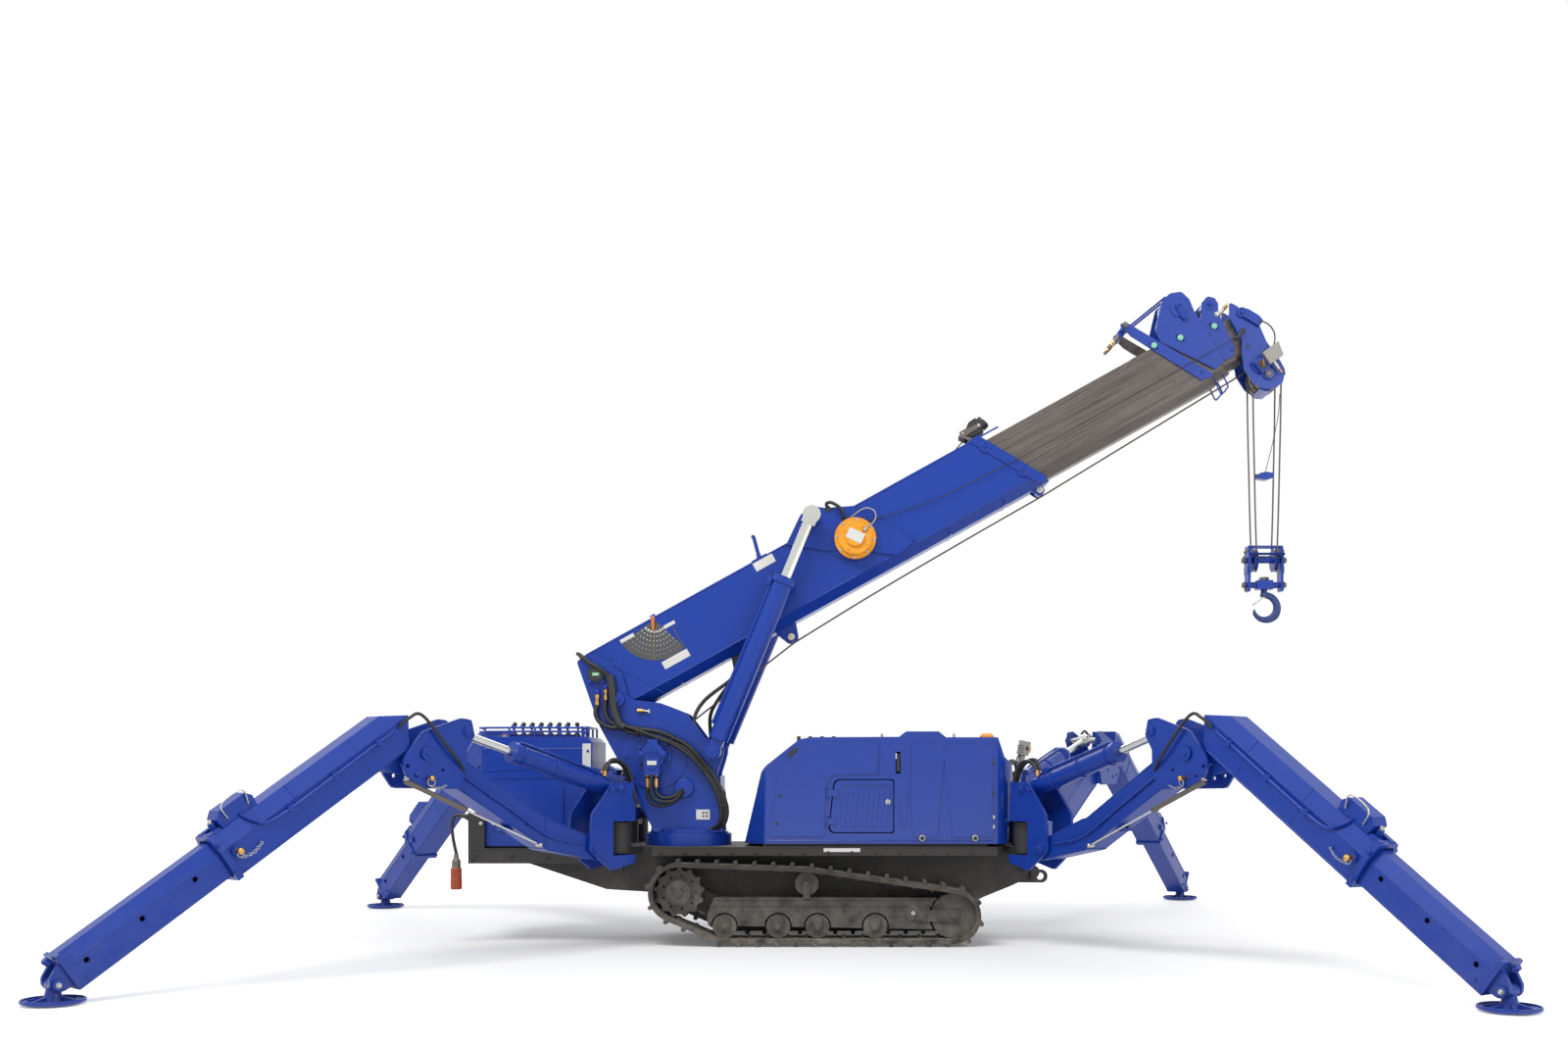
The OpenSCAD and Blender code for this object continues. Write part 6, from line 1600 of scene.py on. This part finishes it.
class MINICRANE_OT_stage(bpy.types.Operator):
    """Sets the pale floor, the lamps and the white surroundings"""

    bl_idname = "minicrane.stage"
    bl_label = "Stage"

    def execute(self, context):
        scene = context.scene
        scene.view_settings.view_transform = "Standard"
        floor = Piece("floor")
        ground = stage_finish()
        floor.add([(-60000, -30000, 0), (60000, -30000, 0), (60000, 60000, 0), (-60000, 60000, 0)], [[0, 1, 2, 3]], ground)
        floor.make()
        world = bpy.data.worlds.new("studio")
        scene.world = world
        world.use_nodes = True
        n = Nodes(world.node_tree)
        world.node_tree.nodes.clear()
        rays = n.add("ShaderNodeLightPath")
        seen = n.math("MAXIMUM", rays.outputs["Is Camera Ray"], rays.outputs["Is Transmission Ray"])
        seen = n.math("MAXIMUM", seen, rays.outputs["Is Glossy Ray"])
        strength = n.math("MULTIPLY_ADD", seen, 0.52, 0.48)
        back = n.add("ShaderNodeBackground", {"Color": (1, 1, 1, 1), "Strength": strength})
        world.node_tree.links.new(back.outputs[0], n.add("ShaderNodeOutputWorld").inputs[0])
        for name, at, look, size, power in LAMPS:
            data = bpy.data.lights.new(name, "AREA")
            data.shape = "RECTANGLE"
            data.size, data.size_y = size
            data.energy = power
            lamp = bpy.data.objects.new(name, data)
            lamp.location = at
            lamp.rotation_euler = (Vector(look) - Vector(at)).to_track_quat("-Z", "Y").to_euler()
            scene.collection.objects.link(lamp)
        return {"FINISHED"}


LAMPS = [
    ("key_lamp", (-2.5, -4.6, 7.5), (0.3, 0, 1.0), (5.0, 3.0), 430),
    ("fill_lamp", (5.5, -5.5, 4.0), (0.3, 0, 0.9), (4.0, 3.0), 120),
    ("back_lamp", (0.0, 6.5, 5.0), (0, 0, 1.2), (7.0, 2.0), 130),
]


def stage_finish():
    """Pale floor that the camera sees near white and that keeps the shadow."""
    made = bpy.data.materials.new("floor_paper")
    made.use_nodes = True
    tree = made.node_tree
    tree.nodes.clear()
    n = Nodes(tree)
    at = n.add("ShaderNodeTexCoord").outputs["Object"]
    noise = n.add("ShaderNodeTexNoise", {"Vector": at, "Scale": 90.0, "Detail": 3.0})
    bump = n.add("ShaderNodeBump", {"Strength": 0.02, "Distance": 0.001, "Height": noise.outputs["Fac"]})
    shader = n.add("ShaderNodeBsdfPrincipled", {"Base Color": (*colours().backdrop, 1), "Roughness": 0.95, "Normal": bump.outputs[0]})
    rays = n.add("ShaderNodeLightPath")
    away = n.add("ShaderNodeVectorMath", {0: at}, operation="LENGTH").outputs["Value"]
    fade = n.add("ShaderNodeMapRange", {"Value": away, "From Min": 1.6, "From Max": 5.5, "To Min": 0.1, "To Max": 0.9},
                 interpolation_type="SMOOTHSTEP").outputs[0]
    lift = n.math("MULTIPLY", n.math("MAXIMUM", rays.outputs["Is Camera Ray"], rays.outputs["Is Glossy Ray"]), fade)
    shader.inputs["Emission Color"].default_value = (1, 1, 1, 1)
    tree.links.new(lift, shader.inputs["Emission Strength"])
    tree.links.new(shader.outputs[0], n.add("ShaderNodeOutputMaterial").inputs[0])
    return made


STEPS = [
    MINICRANE_OT_camera,
    MINICRANE_OT_power_lead,
    MINICRANE_OT_frame_finishes,
    MINICRANE_OT_boom_fittings,
    MINICRANE_OT_section_fittings,
    MINICRANE_OT_hoist,
    MINICRANE_OT_mast_fittings,
    MINICRANE_OT_cowl_fittings,
    MINICRANE_OT_front_lamps,
    MINICRANE_OT_control_box_fittings,
    MINICRANE_OT_chassis_fittings,
    MINICRANE_OT_outriggers,
    MINICRANE_OT_stage,
]


class MINICRANE_PT_panel(bpy.types.Panel):
    """Lists the steps, the colours and the sizes"""

    bl_idname = "MINICRANE_PT_panel"
    bl_label = "Mini Crane"
    bl_space_type = "VIEW_3D"
    bl_region_type = "UI"
    bl_category = "Mini Crane"

    def draw(self, context):
        for step in STEPS:
            self.layout.operator(step.bl_idname)
        for owner in (colours(), sizes()):
            for key in owner.__annotations__:
                self.layout.prop(owner, key)


CLASSES = [MiniCraneColours, MiniCraneSizes, *STEPS, MINICRANE_PT_panel]


def register():
    for kind in CLASSES:
        bpy.utils.register_class(kind)
    bpy.types.Scene.mini_crane_colours = PointerProperty(type=MiniCraneColours)
    bpy.types.Scene.mini_crane_sizes = PointerProperty(type=MiniCraneSizes)


def unregister():
    del bpy.types.Scene.mini_crane_sizes
    del bpy.types.Scene.mini_crane_colours
    for kind in reversed(CLASSES):
        bpy.utils.unregister_class(kind)


def main():
    register()
    for step in STEPS:
        group, name = step.bl_idname.split(".")
        getattr(getattr(bpy.ops, group), name)()


if __name__ == "__main__":
    main()
